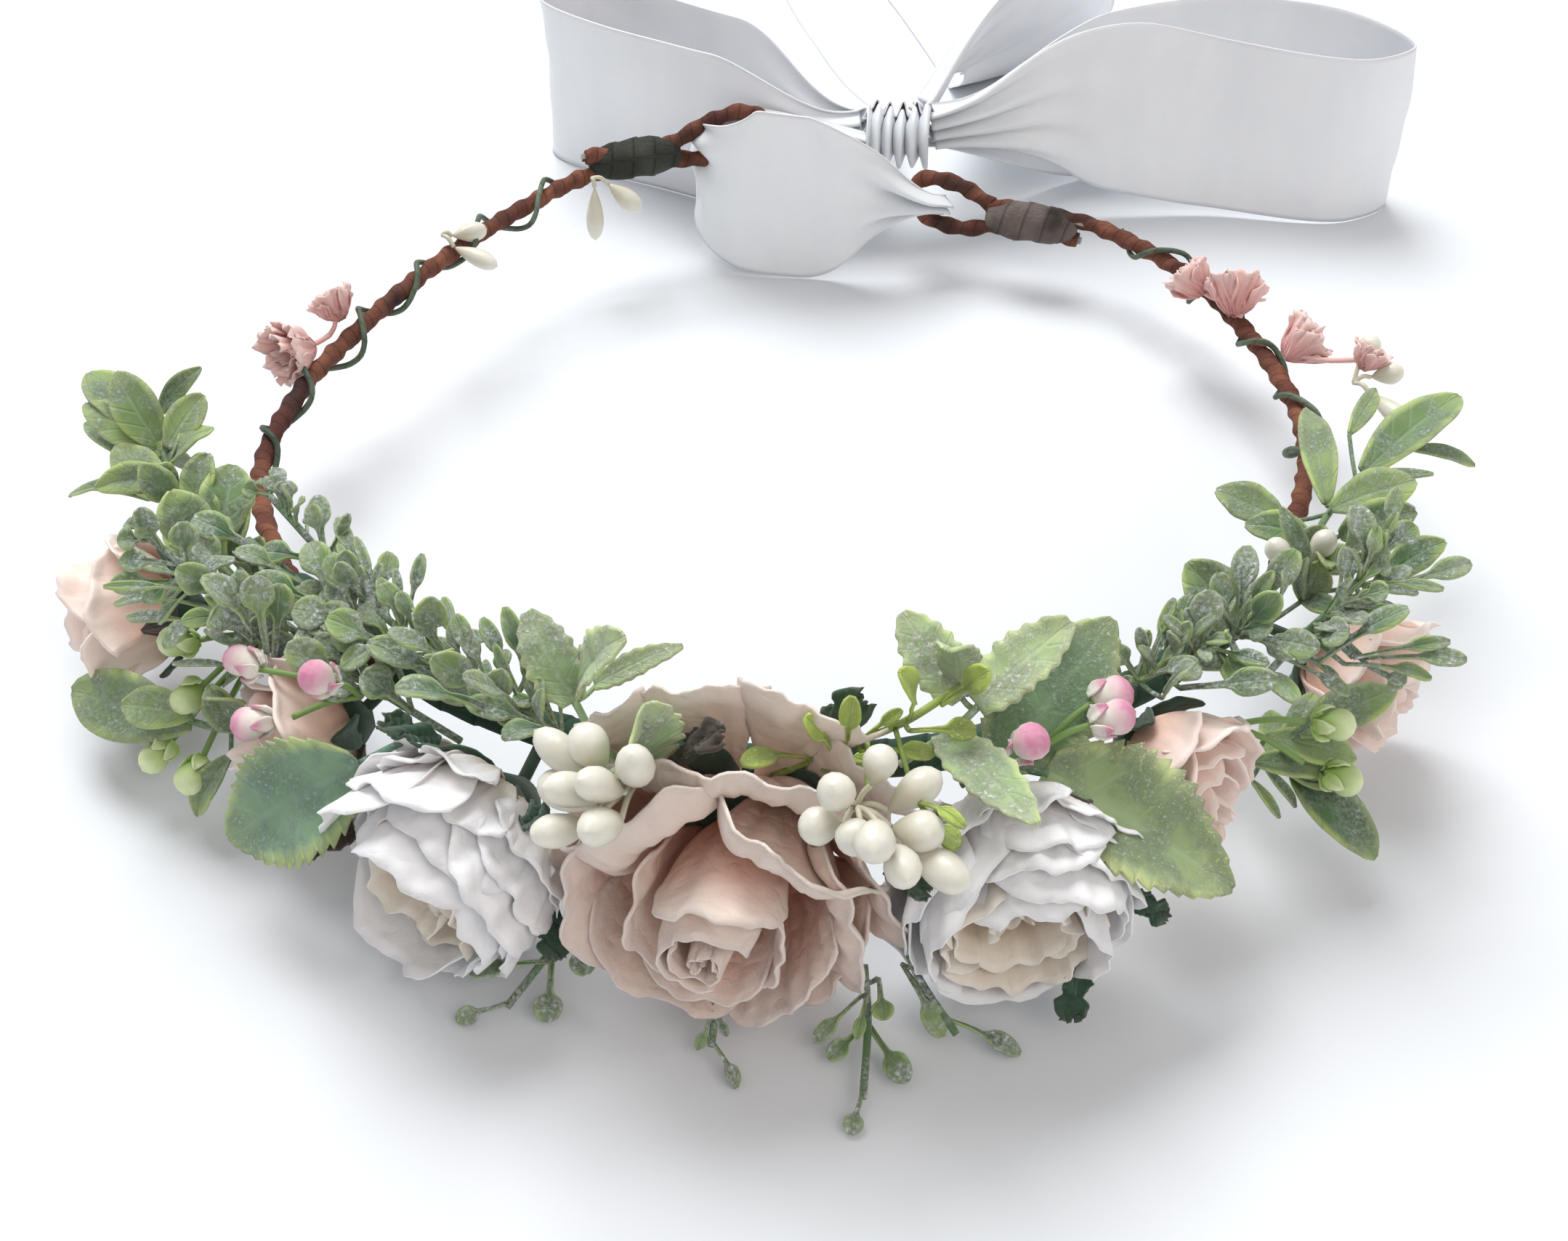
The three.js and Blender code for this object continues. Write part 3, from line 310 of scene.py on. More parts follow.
# Two more stems of the left inner sprig, which lie over the stem tape.
COVER_STEMS = [
    [(-118, 1, 31), (-127, 1, 34), (-137, 2, 35), (-147, 3, 34), (-154, 5, 32)],
    [(-120, 5, 28), (-130, 6, 31), (-140, 7, 31), (-149, 9, 30)],
]
# How many small leaves a sprig gets besides each listed one, by its kind of leaf.
MORE_LEAVES = {"spoon": 2.8, "boxwood": 1.0, "bright": 0.4}

# The ribbon's routes, and the middle of the knot.
STRAP = behind([
    (17, 6, 23), (4, 7, 26), (-10, 7.5, 27.5), (-17, 3, 25.5), (-16, -4, 23),
    (-10, -8, 20.5), (4, -10.5, STAND), (18, -10, STAND), (29, -8.6, 17), (33.6, -6.4, 15.1),
])
LEFT_LOOP = behind([
    (16.5, 12, 22), (6, 12, 20.5), (-12, 16, STAND), (-38, 28, STAND), (-52, 41, STAND),
    (-46, 49, STAND), (-26, 43, STAND), (-6, 30, STAND), (8, 19, 20.5), (17, 14, 22),
])
RIGHT_LOOP = behind([
    (31.5, 12, 22), (42, 12, 24), (62, 16, 26), (92, 17, 21), (122, 12, STAND),
    (133, 19, STAND), (122, 33, STAND), (92, 38, STAND), (60, 28, STAND), (42, 18, 20.5),
    (31, 14, 22),
])
LEFT_TAIL = behind([
    (19, 18.4, 21), (14, 28, 16), (5, 44, 5), (1, 54, 1.4), (-4, 66, LAID),
    (-13, 92, LAID), (-20, 118, LAID), (-28, 150, LAID),
])
RIGHT_TAIL = behind([
    (29, 18.4, 23), (38, 33, 29), (50, 48, 30), (58, 60, 20), (58, 68, 8), (57, 76, 1.6),
    (54, 88, LAID), (47, 112, LAID), (40, 134, LAID), (36, 160, LAID),
])
KNOT = behind([24, 10, 22])


# ---- curves and grids ----------------------------------------------------------
def unit(v):
    """Vectors scaled to length one."""
    return v / np.maximum(np.linalg.norm(v, axis=-1, keepdims=True), 1e-9)


def ease(x, low, high):
    """Smooth step from 0 at low to 1 at high: 3t^2 - 2t^3."""
    t = np.clip((x - low) / (high - low), 0, 1)
    return t * t * (3 - 2 * t)


def smooth(points, count):
    """Centripetal Catmull-Rom curve through the points, at equal steps of its length."""
    p = np.asarray(points, float)
    p = np.vstack([2 * p[0] - p[1], p, 2 * p[-1] - p[-2]])
    gaps = np.linalg.norm(np.diff(p, axis=0), axis=1)
    knots = np.concatenate([[0], np.cumsum(np.maximum(gaps, 1e-6) ** 0.5)])
    t = np.linspace(knots[1], knots[-2], 30 * len(p))
    k = np.clip(np.searchsorted(knots, t, side="right") - 1, 1, len(p) - 3)
    t0, t1, t2, t3 = (knots[k + i][:, None] for i in (-1, 0, 1, 2))
    t = t[:, None]

    def mix(a, b, ta, tb):
        """The straight line through a at ta and b at tb, at t."""
        return (a * (tb - t) + b * (t - ta)) / (tb - ta)

    a1, a2 = mix(p[k - 1], p[k], t0, t1), mix(p[k], p[k + 1], t1, t2)
    a3 = mix(p[k + 1], p[k + 2], t2, t3)
    c = mix(mix(a1, a2, t0, t2), mix(a2, a3, t1, t3), t1, t2)
    s = np.concatenate([[0], np.cumsum(np.linalg.norm(np.diff(c, axis=0), axis=1))])
    even = np.linspace(0, s[-1], count)
    return np.stack([np.interp(even, s, c[:, i]) for i in range(3)], -1)


def length_of(path):
    """Length passed at each point of a path."""
    steps = np.linalg.norm(np.diff(path, axis=0), axis=1)
    return np.concatenate([[0], np.cumsum(steps)])


def round_angles(count):
    """Even angles once round, the first at zero."""
    return np.linspace(0, 2 * np.pi, count, endpoint=False)


def ripple(x, rng, waves):
    """A sum of sines of x with random phases, the quicker ones lower."""
    total = np.zeros_like(x)
    for k in range(1, waves + 1):
        total += np.sin(k * math.pi * x + rng.uniform(0, 2 * math.pi)) / k**0.6
    return total / waves**0.5


def creases(u, v, rng, across=5.0, along=2.5, folds=7):
    """Creases of worked paper: the sum of 1 - 2 |sin(a u + b v + c)| with a, b and c
    drawn at random, so that sharp valleys cross the sheet in a few directions."""
    total = np.zeros(np.broadcast(u, v).shape)
    for _ in range(folds):
        a, b, c = rng.normal(0, across), rng.normal(0, along), rng.uniform(0, 3)
        total = total + 1 - 2 * np.abs(np.sin(a * u + b * v + c))
    return total / math.sqrt(folds)


class Skin:
    """Gathers closed grids of points into one mesh, with values for the materials."""

    NAMES = ("along", "across", "tone", "deep")

    def __init__(self):
        self.points, self.quads, self.ends = [], [], []
        self.values = {name: [] for name in self.NAMES}
        self.total = 0

    def add(self, rings, values, lids):
        """Rows of closed rings joined by quads. Each lid is a list of polygons."""
        rows, cols = rings.shape[:2]
        index = self.total + np.arange(rows * cols).reshape(rows, cols)
        following = np.roll(index, -1, axis=1)
        quads = [index[:-1], following[:-1], following[1:], index[1:]]
        self.quads.append(np.stack(quads, -1).reshape(-1, 4))
        for lid in lids(index):
            self.ends.append(lid)
        self.points.append(rings.reshape(-1, 3))
        for name in self.NAMES:
            value = np.broadcast_to(values.get(name, 0.0), (rows, cols))
            self.values[name].append(value.reshape(-1))
        self.total += rows * cols

    def sheet(self, grid, thickness, **values):
        """A thin closed shell: the grid moved half the thickness along its normal to
        each side, which is the cross product of the across and along steps."""
        du, dv = np.gradient(grid, axis=1), np.gradient(grid, axis=0)
        normal = unit(np.cross(du, dv))
        thick = np.broadcast_to(thickness, grid.shape[:2])[..., None]
        top, bottom = grid + normal * thick / 2, grid - normal * thick / 2
        rings = np.concatenate([top, bottom[:, ::-1]], axis=1)
        cols = grid.shape[1]
        both = {
            name: np.concatenate([full, full[:, ::-1]], axis=1)
            for name, full in (
                (n, np.broadcast_to(v, grid.shape[:2])) for n, v in values.items()
            )
        }

        def lids(index):
            """Quads between top and bottom along the first and the last row."""
            j = np.arange(cols - 1)
            far = 2 * cols - 1 - j
            first, last = index[0], index[-1]
            yield np.stack([first[j], first[far], first[far - 1], first[j + 1]], -1)
            yield np.stack([last[j], last[j + 1], last[far - 1], last[far]], -1)

        self.add(rings, both, lids)

    def tube(self, path, radius, sides=10, **values):
        """A tube: at each point of the path a ring of the given radius, which may vary
        with the point and the angle round it, square to the path."""
        tangent = unit(np.gradient(path, axis=0))
        spread = path - path.mean(0)
        flat = np.linalg.svd(spread)[2][-1]
        if abs(np.abs(tangent @ flat).max()) > 0.98:
            flat = unit(np.cross(tangent[0], [0.3, 0.5, 0.8]))
        side = unit(np.cross(flat, tangent))
        other = np.cross(tangent, side)
        angle = round_angles(sides)
        r = radius(np.arange(len(path))[:, None], angle) if callable(radius) else radius
        r = np.broadcast_to(np.asarray(r, float), (len(path), sides))[..., None]
        wheel = np.cos(angle)[:, None] * side[:, None] + np.sin(angle)[:, None] * other[:, None]
        values.setdefault("along", length_of(path)[:, None])
        values.setdefault("across", (angle / (2 * np.pi))[None, :])
        self.add(path[:, None] + r * wheel, values, self.round_lids)

    @staticmethod
    def round_lids(index):
        """The two flat ends of a tube."""
        yield index[0][None, ::-1]
        yield index[-1][None, :]

    def turned(self, start, axis, profile, sides=12, dents=None, **values):
        """A turned body: the profile's [radius, distance] points carried round the axis,
        with an optional factor on the radius for each profile point and angle."""
        axis = unit(np.asarray(axis, float))
        side = unit(np.cross(axis, [0.31, 0.42, 0.85]))
        other = np.cross(axis, side)
        angle = round_angles(sides)
        radius, distance = np.asarray(profile, float).T
        r = np.maximum(radius, 0.02)[:, None] * np.ones(sides)
        if dents is not None:
            r = r * dents
        wheel = np.cos(angle)[:, None] * side + np.sin(angle)[:, None] * other
        rings = start + distance[:, None, None] * axis + r[..., None] * wheel
        share = (distance - distance[0]) / (distance[-1] - distance[0])
        values.setdefault("along", share[:, None])
        values.setdefault("across", (angle / (2 * np.pi))[None, :])
        self.add(rings, values, self.round_lids)

    def mesh(self, name):
        """One mesh of everything added, in metres."""
        made = bpy.data.meshes.new(name)
        points = np.concatenate(self.points) * MM
        quads = np.concatenate(self.quads + [e for e in self.ends if e.shape[1] == 4])
        wide = [row for e in self.ends if e.shape[1] != 4 for row in e.tolist()]
        made.from_pydata(points, [], quads.tolist() + wide)
        for key, parts in self.values.items():
            layer = made.attributes.new(key, "FLOAT", "POINT")
            layer.data.foreach_set("value", np.concatenate(parts).astype(np.float32))
        made.shade_smooth()
        made.validate()
        return made


def finish_piece(name, skin, look, nodes, body="crown"):
    """The gathered mesh as one object that stands for CAD nodes. It rides on the body,
    or on none when no body is given."""
    made = bpy.data.objects.new(name, skin.mesh(name))
    bpy.context.scene.collection.objects.link(made)
    made.data.materials.append(look)
    if body:
        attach(made, body)
    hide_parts(*nodes)
    return made


# ---- materials -----------------------------------------------------------------
def linear(colour):
    """A #rrggbb colour as scene-linear RGBA; a colour setting already is."""
    if not isinstance(colour, str):
        return tuple(colour)
    c = np.array([int(colour[i : i + 2], 16) for i in (1, 3, 5)]) / 255
    low, high = c / 12.92, ((c + 0.055) / 1.055) ** 2.4
    return (*np.where(c <= 0.04045, low, high).tolist(), 1.0)


def node(tree, kind, inputs=None, **settings):
    """Adds a node, sets its properties, and fills inputs with values or links."""
    made = tree.nodes.new(kind)
    for key, value in settings.items():
        setattr(made, key, value)
    for key, value in (inputs or {}).items():
        if isinstance(value, bpy.types.NodeSocket):
            tree.links.new(value, made.inputs[key])
        else:
            made.inputs[key].default_value = value
    return made


def value_of(tree, name):
    """A value stored on the piece's points."""
    return node(tree, "ShaderNodeAttribute", attribute_name=name).outputs["Fac"]


def blend(tree, share, a, b, way="MIX"):
    """Colour a towards colour b by a share; sockets 6 and 7 are the two colours."""
    inputs = {0: share, 6: a, 7: b}
    mixed = node(tree, "ShaderNodeMix", inputs, data_type="RGBA", blend_type=way)
    return mixed.outputs[2]


def remap(tree, value, low, high, to_low=0.0, to_high=1.0):
    """A value brought from one range to another and held inside it."""
    inputs = {"Value": value, 1: low, 2: high, 3: to_low, 4: to_high}
    return node(tree, "ShaderNodeMapRange", inputs).outputs[0]


def sums(tree, operation, a, b=0.0, c=0.0):
    """One step of arithmetic."""
    inputs = {0: a, 1: b, 2: c}
    return node(tree, "ShaderNodeMath", inputs, operation=operation).outputs[0]


def noise(tree, size_mm, detail=3.0, stretch=(1, 1, 1), roughness=0.5):
    """Noise on the piece's own place, with features of about the given size."""
    spot = node(tree, "ShaderNodeTexCoord").outputs["Object"]
    spot = node(tree, "ShaderNodeMapping", {"Vector": spot, "Scale": stretch}).outputs[0]
    inputs = {"Vector": spot, "Scale": 1000 / size_mm, "Detail": detail}
    inputs["Roughness"] = roughness
    return node(tree, "ShaderNodeTexNoise", inputs).outputs["Fac"]


def bump(tree, height, depth_mm):
    """Bump of a real depth in millimetres."""
    inputs = {"Height": height, "Distance": depth_mm * MM, "Strength": 1.0}
    return node(tree, "ShaderNodeBump", inputs).outputs[0]


MADE = {}  # the materials of this file by name, apart from the frame's own ones


def material(name, build):
    """A material whose builder returns the Principled inputs; made once."""
    if name in MADE:
        return MADE[name]
    made = MADE[name] = bpy.data.materials.new(f"look_{name}")
    made.use_nodes = True
    tree = made.node_tree
    tree.nodes.clear()
    shader = node(tree, "ShaderNodeBsdfPrincipled", build(tree))
    node(tree, "ShaderNodeOutputMaterial", {"Surface": shader.outputs[0]})
    return made


def paper(name, dark, body, light, warm=None, worked=0.12):
    """Mulberry paper, hand-made, dyed and shaped wet. It is matt and a little woolly,
    with 0.6 mm fibres, 3 to 7 mm creases of the worked depth in millimetres, painted
    shade deep in the flower, a paler rim and, on some petals, a second tint."""

    def build(tree):
        deep, along = value_of(tree, "deep"), value_of(tree, "along")
        tone = value_of(tree, "tone")
        # Painted shade: where deep is low, at the feet of the petals inside the flower, the colour
        # goes from body to dark.
        colour = blend(tree, remap(tree, deep, 0.0, 0.75), linear(dark), linear(body))
        rim = sums(tree, "MULTIPLY", remap(tree, along, 0.6, 1.0), remap(tree, tone, 0, 1, 0.6, 1))
        colour = blend(tree, rim, colour, linear(light))
        if warm:
            colour = blend(tree, remap(tree, tone, 0.72, 1.0, 0, 0.7), colour, linear(warm))
        cloud = remap(tree, noise(tree, 5, 4), 0.35, 0.65, 0.0, 0.1)
        colour = blend(tree, cloud, colour, linear(dark), "MULTIPLY")
        fibres = noise(tree, 0.6, 6, (1, 1, 2.5), 0.75)
        blotch = remap(tree, fibres, 0.35, 0.65, 0.0, 0.22)
        colour = blend(tree, blotch, colour, linear(light))
        across = value_of(tree, "across")
        crease = sums(tree, "SINE", sums(tree, "MULTIPLY_ADD", across, 14, noise(tree, 3, 2)))
        folds = sums(tree, "ABSOLUTE", sums(tree, "MULTIPLY_ADD", noise(tree, 7, 2), 7.0, -3.5))
        folds = remap(tree, folds, 0.0, 1.2, 0, 1.8)
        creased = sums(tree, "MULTIPLY_ADD", crease, 0.25, sums(tree, "ADD", fibres, folds))
        return {
            "Base Color": colour,
            "Roughness": 0.86,
            "Sheen Weight": 0.25,
            "Sheen Roughness": 0.6,
            "Subsurface Weight": 0.12,
            "Subsurface Radius": (1.0, 0.7, 0.5),
            "Subsurface Scale": 0.0015,
            "Specular IOR Level": 0.25,
            "Normal": bump(tree, creased, worked),
        }

    return material(name, build)


def leaf(name, body, rim, frost, amount, veins=5.0, rough=0.62):
    """Polyester silk, printed, pressed and flocked. It is half matt, with a paler rim,
    slanting veins and a midrib pressed in, and a dusting of 0.7 mm specks of frost in
    6 mm patches."""

    def build(tree):
        along, across = value_of(tree, "along"), value_of(tree, "across")
        tone = value_of(tree, "tone")
        away = sums(tree, "ABSOLUTE", across)
        colour = blend(tree, remap(tree, tone, 0, 1, 0, 0.45), linear(body), linear(rim))
        edge = remap(tree, away, 0.68, 0.95, 0, 0.9)
        colour = blend(tree, edge, colour, linear(rim))
        colour = blend(tree, remap(tree, along, 0.7, 1.05, 0, 0.6), colour, linear(rim))
        phase = sums(tree, "MULTIPLY_ADD", along, veins * 6.28, sums(tree, "MULTIPLY", away, -7.0))
        vein = remap(tree, sums(tree, "SINE", phase), 0.75, 1.0)
        rib = remap(tree, away, 0.14, 0.02)
        lines = sums(tree, "MAXIMUM", sums(tree, "MULTIPLY", vein, 0.5), rib)
        colour = blend(tree, sums(tree, "MULTIPLY", lines, 0.16), colour, linear(frost))
        speck = remap(tree, noise(tree, 0.7, 6, (1, 1, 1), 0.75), 0.42, 0.6)
        patch = remap(tree, noise(tree, 6, 3), 0.38, 0.62)
        dust = sums(tree, "MULTIPLY", speck, patch)
        colour = blend(tree, sums(tree, "MULTIPLY", dust, amount), colour, linear(frost))
        height = sums(tree, "MULTIPLY_ADD", lines, -0.8, sums(tree, "MULTIPLY", dust, 0.8))
        return {
            "Base Color": colour,
            "Roughness": rough,
            "Sheen Weight": 0.3 * amount,
            "Specular IOR Level": 0.35,
            "Subsurface Weight": 0.08,
            "Subsurface Radius": (0.5, 0.9, 0.3),
            "Subsurface Scale": 0.001,
            "Normal": bump(tree, height, 0.22),
        }

    return material(name, build)


def bead(name, low, high, rough, coat=0.0, start=0.35):
    """Moulded foam dipped in wax or paint. It has soft highlights and a little light
    inside, one colour at the foot and another at the tip, and is green where deep is
    low, as on the stalks of the buds."""

    def build(tree):
        along = value_of(tree, "along")
        wander = sums(tree, "MULTIPLY_ADD", noise(tree, 2.5, 2), 0.3, along)
        colour = blend(tree, remap(tree, wander, start, 1.0), linear(low), linear(high))
        cloud = remap(tree, noise(tree, 1.6, 4), 0.35, 0.7, 0, 0.25)
        colour = blend(tree, cloud, colour, linear(low))
        green = remap(tree, value_of(tree, "deep"), 0.6, 0.3)
        colour = blend(tree, green, colour, linear("#7d9a58"))
        return {
            "Base Color": colour,
            "Roughness": rough,
            "Coat Weight": coat,
            "Coat Roughness": 0.3,
            "Subsurface Weight": 0.2,
            "Subsurface Radius": (0.8, 0.8, 0.7),
            "Subsurface Scale": 0.0015,
            "Normal": bump(tree, noise(tree, 0.8, 3), 0.05),
        }

    return material(name, build)


def wrapped(name, paints, pitch, depth=0.25, rough=0.85):
    """Paper or cloth tape wound round a core. It is matt and crumpled, with an edge
    that climbs one pitch in millimetres each turn, and patches of the given colours,
    the last of which also darkens the edge."""

    def build(tree):
        along, across = value_of(tree, "along"), value_of(tree, "across")
        turns = sums(tree, "DIVIDE", along, pitch)
        climb = sums(tree, "FRACT", sums(tree, "MULTIPLY_ADD", across, 1.0, turns))
        colour = linear(paints[0])
        for i, other in enumerate(paints[1:]):
            patch = remap(tree, noise(tree, 9 + 7 * i, 3), 0.5 + 0.03 * i, 0.62 + 0.03 * i)
            colour = blend(tree, patch, colour, linear(other))
        edge = remap(tree, climb, 0.82, 1.0, 0, 0.55)
        colour = blend(tree, edge, colour, linear(paints[-1]), "MULTIPLY")
        crumple = noise(tree, 0.7, 5, (1, 1, 1), 0.6)
        height = sums(tree, "MULTIPLY_ADD", climb, 0.8, crumple)
        return {
            "Base Color": colour,
            "Roughness": rough,
            "Specular IOR Level": 0.3,
            "Normal": bump(tree, height, depth),
        }

    return material(name, build)


def satin(tree):
    """Woven polyester satin. It is smooth, with broad soft highlights and a closer
    selvedge. Real threads are about 0.1 mm apart, too fine to show, so the weave is
    drawn 0.35 mm by 0.25 mm."""
    along, across = value_of(tree, "along"), value_of(tree, "across")
    weft = sums(tree, "SINE", sums(tree, "MULTIPLY", along, 2 * math.pi / 0.35))
    warp = sums(tree, "SINE", sums(tree, "MULTIPLY", across, 2 * math.pi / 0.25))
    weave = sums(tree, "MULTIPLY", weft, warp)
    streak = noise(tree, 9, 2, (1, 1, 0.3))
    tone = remap(tree, streak, 0.3, 0.7)
    colour = blend(tree, tone, linear("#e9ecf0"), linear(colours().ribbon))
    edge = remap(tree, sums(tree, "ABSOLUTE", across), 18.0, 18.8, 0, 0.5)
    colour = blend(tree, edge, colour, linear("#e2e5ec"))
    return {
        "Base Color": colour,
        "Roughness": remap(tree, streak, 0.3, 0.7, 0.24, 0.26),
        "Specular IOR Level": 0.55,
        "Sheen Weight": 0.35,
        "Sheen Roughness": 0.35,
        "Subsurface Weight": 0.08,
        "Subsurface Scale": 0.001,
        "Normal": bump(tree, weave, 0.012),
    }


def steel(tree):
    """Drawn steel wire: grey and half polished, with fine marks."""
    marks = noise(tree, 0.6, 3, (1, 1, 6))
    return {
        "Base Color": blend(tree, marks, linear("#7d7a76"), linear("#a5a29d")),
        "Metallic": 1.0,
        "Roughness": remap(tree, marks, 0.3, 0.7, 0.3, 0.5),
        "Normal": bump(tree, marks, 0.02),
    }


def table(tree):
    """Very pale, faintly blue paper sheet: matt, with a 3 mm grain that hardly shows."""
    grain = noise(tree, 3, 5)
    cloud = noise(tree, 120, 2)
    return {
        "Base Color": blend(tree, cloud, linear("#dfe2e6"), linear("#e5e8ec")),
        "Roughness": remap(tree, grain, 0.3, 0.7, 0.75, 0.9),
        "Specular IOR Level": 0.2,
        "Normal": bump(tree, grain, 0.02),
    }


# Kinds of leaf: body, rim and frost colour, frost amount, veins, roughness.
LEAF_LOOKS = {
    "boxwood": ("#567549", "#b3c479", "#bccbbf", 0.75, 5.0, 0.65),
    "spoon": ("#4f6d4b", "#a3b873", "#d9e1df", 1.0, 3.0, 0.8),
    "bright": ("#93ab54", "#bdd063", "#d6dfb0", 0.3, 3.0, 0.55),
    "felt": ("#8fab7c", "#c9d79c", "#e2e8da", 0.95, 6.0, 0.9),
    "rose": ("#527a57", "#c3cd90", "#b5c8b6", 0.5, 6.0, 0.65),
    "blue": ("#5d8577", "#b9c986", "#aac4bd", 0.55, 6.0, 0.65),
}


def leaf_material(kind):
    """The silk of one kind of leaf."""
    return leaf(f"silk_leaf_{kind}", *LEAF_LOOKS[kind])


# ---- leaves and petals ---------------------------------------------------------
def outline(kind, v):
    """Half width of a leaf at the share v of its length, with its widest place at 1:
    a thin stalk and an elliptic head for spoons, a power of a sine for the others,
    with saw teeth on rose leaves, scallops on felt and slow waves on torn scraps."""
    if kind in ("spoon", "bright"):
        head = np.sqrt(np.clip(1 - ((v - 0.76) / 0.25) ** 2, 0, 1))
        return np.maximum(head * ease(v, 0.4, 0.68), 0.16 * (v < 0.8) * (1 + v))
    if kind == "felt":
        return np.sin(np.pi * (0.05 + 0.93 * v) ** 0.9) ** 0.6 * (1 + 0.07 * np.cos(v * 44))
    if kind in ("rose", "blue"):
        teeth = 1 + 0.15 * (((v * 13) % 1) - 0.5) * ease(v, 0.05, 0.2)
        return np.sin(np.pi * (0.03 + 0.96 * v) ** 0.85) ** 0.75 * teeth
    if kind == "scrap":
        torn = 0.2 * np.sin(v * 8 + 1) + 0.12 * np.sin(v * 17 + 2) + 0.05 * np.sin(v * 31)
        return np.sin(np.pi * (0.1 + 0.8 * v)) ** 0.6 * (0.9 + torn)
    if kind == "sepal":
        return np.sin(np.pi * (0.2 + 0.78 * v)) ** 0.9
    return np.sin(np.pi * (0.04 + 0.95 * v) ** 1.12) ** 0.62


def add_leaf(skin, kind, base, tip, width, rng, face=(0, -0.35, 1), thickness=0.45):
    """A blade: points along an arched midrib, moved sideways by the outline, folded
    up a little at the midrib, cupped, and curled at the tip."""
    broad = kind in ("rose", "blue", "felt", "scrap")
    rows, cols = (89 if kind in ("rose", "blue") else 41, 9) if broad else (17, 7)
    run = tip - base
    size = np.linalg.norm(run)
    lean = unit(np.asarray(face, float) + rng.normal(0, 0.22, 3))
    side = unit(np.cross(run, lean))
    up = unit(np.cross(side, run))
    v = np.linspace(0, 1, rows)[:, None]
    u = np.linspace(-1, 1, cols)[None, :]
    half = np.maximum(0.5 * width * outline(kind, v), 0.25)
    arch = rng.uniform(0.02, 0.1) * size * np.sin(np.pi * v)
    curl = rng.uniform(-0.08, 0.04) * size * ease(v, 0.6, 1.0) ** 2
    fold = rng.uniform(0.15, 0.4) * half * np.abs(u) ** 1.2
    wave = 0.05 * width * np.sin(5 * v + rng.uniform(0, 6)) * u
    lift = arch + curl + fold + wave + 0.04 * width * ripple(2 * v * np.sign(u), rng, 4)
    if kind == "scrap":
        lift = lift + 0.12 * width * ripple(3 * v + u, rng, 3)
        v = v + 0.10 * ripple(3 * u, rng, 5) * v**3
    grid = base + v[..., None] * run + (u * half)[..., None] * side + lift[..., None] * up
    grid[..., 2] = np.maximum(grid[..., 2], 0.35)
    skin.sheet(
        grid,
        thickness,
        along=np.broadcast_to(v, grid.shape[:2]),
        across=np.broadcast_to(u, grid.shape[:2]),
        tone=rng.uniform(),
        deep=1.0,
    )


def flower_frame(name):
    """Base, axis, and the two directions square to it: level and upward."""
    base, face, radius, depth, foot = FLOWERS[name]
    start = at(base)
    axis = unit(at(face) - start)
    level = unit(np.cross(axis, [0, 0, 1]))
    return start, axis, level, np.cross(level, axis), radius, depth, at(foot)


def add_petal(skin, where, turn, spread, rise, reach, curl, ruffle, rng, **shape):
    """A petal wrapped round the flower's axis. u goes across and v up it. Its angle is
    turn + spread * u * w(v), its height runs from rise[0] to rise[1] and falls off to
    the sides, and its radius from reach[0] to reach[1], with a curl outwards at the
    rim, a ruffle that grows with v, and one side edge outside the other. Heights are
    shares of the flower's depth and radii of its radius."""
    start, axis, level, up, radius, depth, _ = where
    rows, cols = shape.get("rows", 13), shape.get("cols", 19)
    v = np.linspace(0, 1, rows)[:, None]
    u = np.linspace(-1, 1, cols)[None, :]
    ragged = 1 + shape.get("ragged", 0.02) * ripple(2.5 * u, rng, 4)
    notch = 1 - shape.get("notch", 0.05) * np.exp(-((u - rng.uniform(-0.2, 0.2)) ** 2) / 0.05)
    top = (1 - shape.get("round", 0.3) * np.abs(u) ** 3) * ragged * notch
    width = 0.4 + 0.6 * np.sin(np.minimum(v * 1.25, 1) * np.pi / 2)
    angle = turn + spread * u * width
    height = depth * (rise[0] + (rise[1] - rise[0]) * v * top)
    bulge = np.sin(v * np.pi / 2) ** shape.get("power", 0.9)
    out = radius * (reach[0] + (reach[1] - reach[0]) * bulge)
    rim = ease(v, shape.get("rim", 0.62), 1.0) ** 1.6
    out = out + radius * curl * rim * (1 + 0.35 * ripple(u, rng, 3))
    height = height - depth * abs(curl) * 0.55 * rim**2 * shape.get("fall", 1.0)
    wrinkle = ripple(u * shape.get("waves", 3), rng, 3)
    out = out + radius * ruffle * wrinkle * v**1.6
    out = out + radius * shape.get("overlap", 0.03) * u
    height = height + depth * 0.4 * ruffle * ripple(u * 1.6, rng, 3) * v**2
    out = np.maximum(out, 0.02 * radius)
    round_ = np.cos(angle)[..., None] * level + np.sin(angle)[..., None] * up
    grid = start + height[..., None] * axis + out[..., None] * round_
    face = unit(np.cross(np.gradient(grid, axis=1), np.gradient(grid, axis=0)))
    folds = creases(u, v, rng) * shape.get("creased", 0.3) * np.minimum(1, 3 * v + 0.2)
    grid = grid + folds[..., None] * face
    grid[..., 2] = np.maximum(grid[..., 2], 0.4)
    # deep grows from the petal's foot to its rim, shifted by the shape's deep; where it is low the
    # paper paints shade.
    far = np.clip(v * shape.get("open", 1.0) + shape.get("deep", 0.0), 0, 1)
    skin.sheet(
        grid,
        shape.get("thick", 1.0) * sizes().paper_thickness / MM * (1.15 - 0.4 * v),
        along=np.broadcast_to(v, grid.shape[:2]),
        across=np.broadcast_to(u, grid.shape[:2]),
        tone=shape.get("tone", rng.uniform()),
        deep=np.broadcast_to(far, grid.shape[:2]),
    )


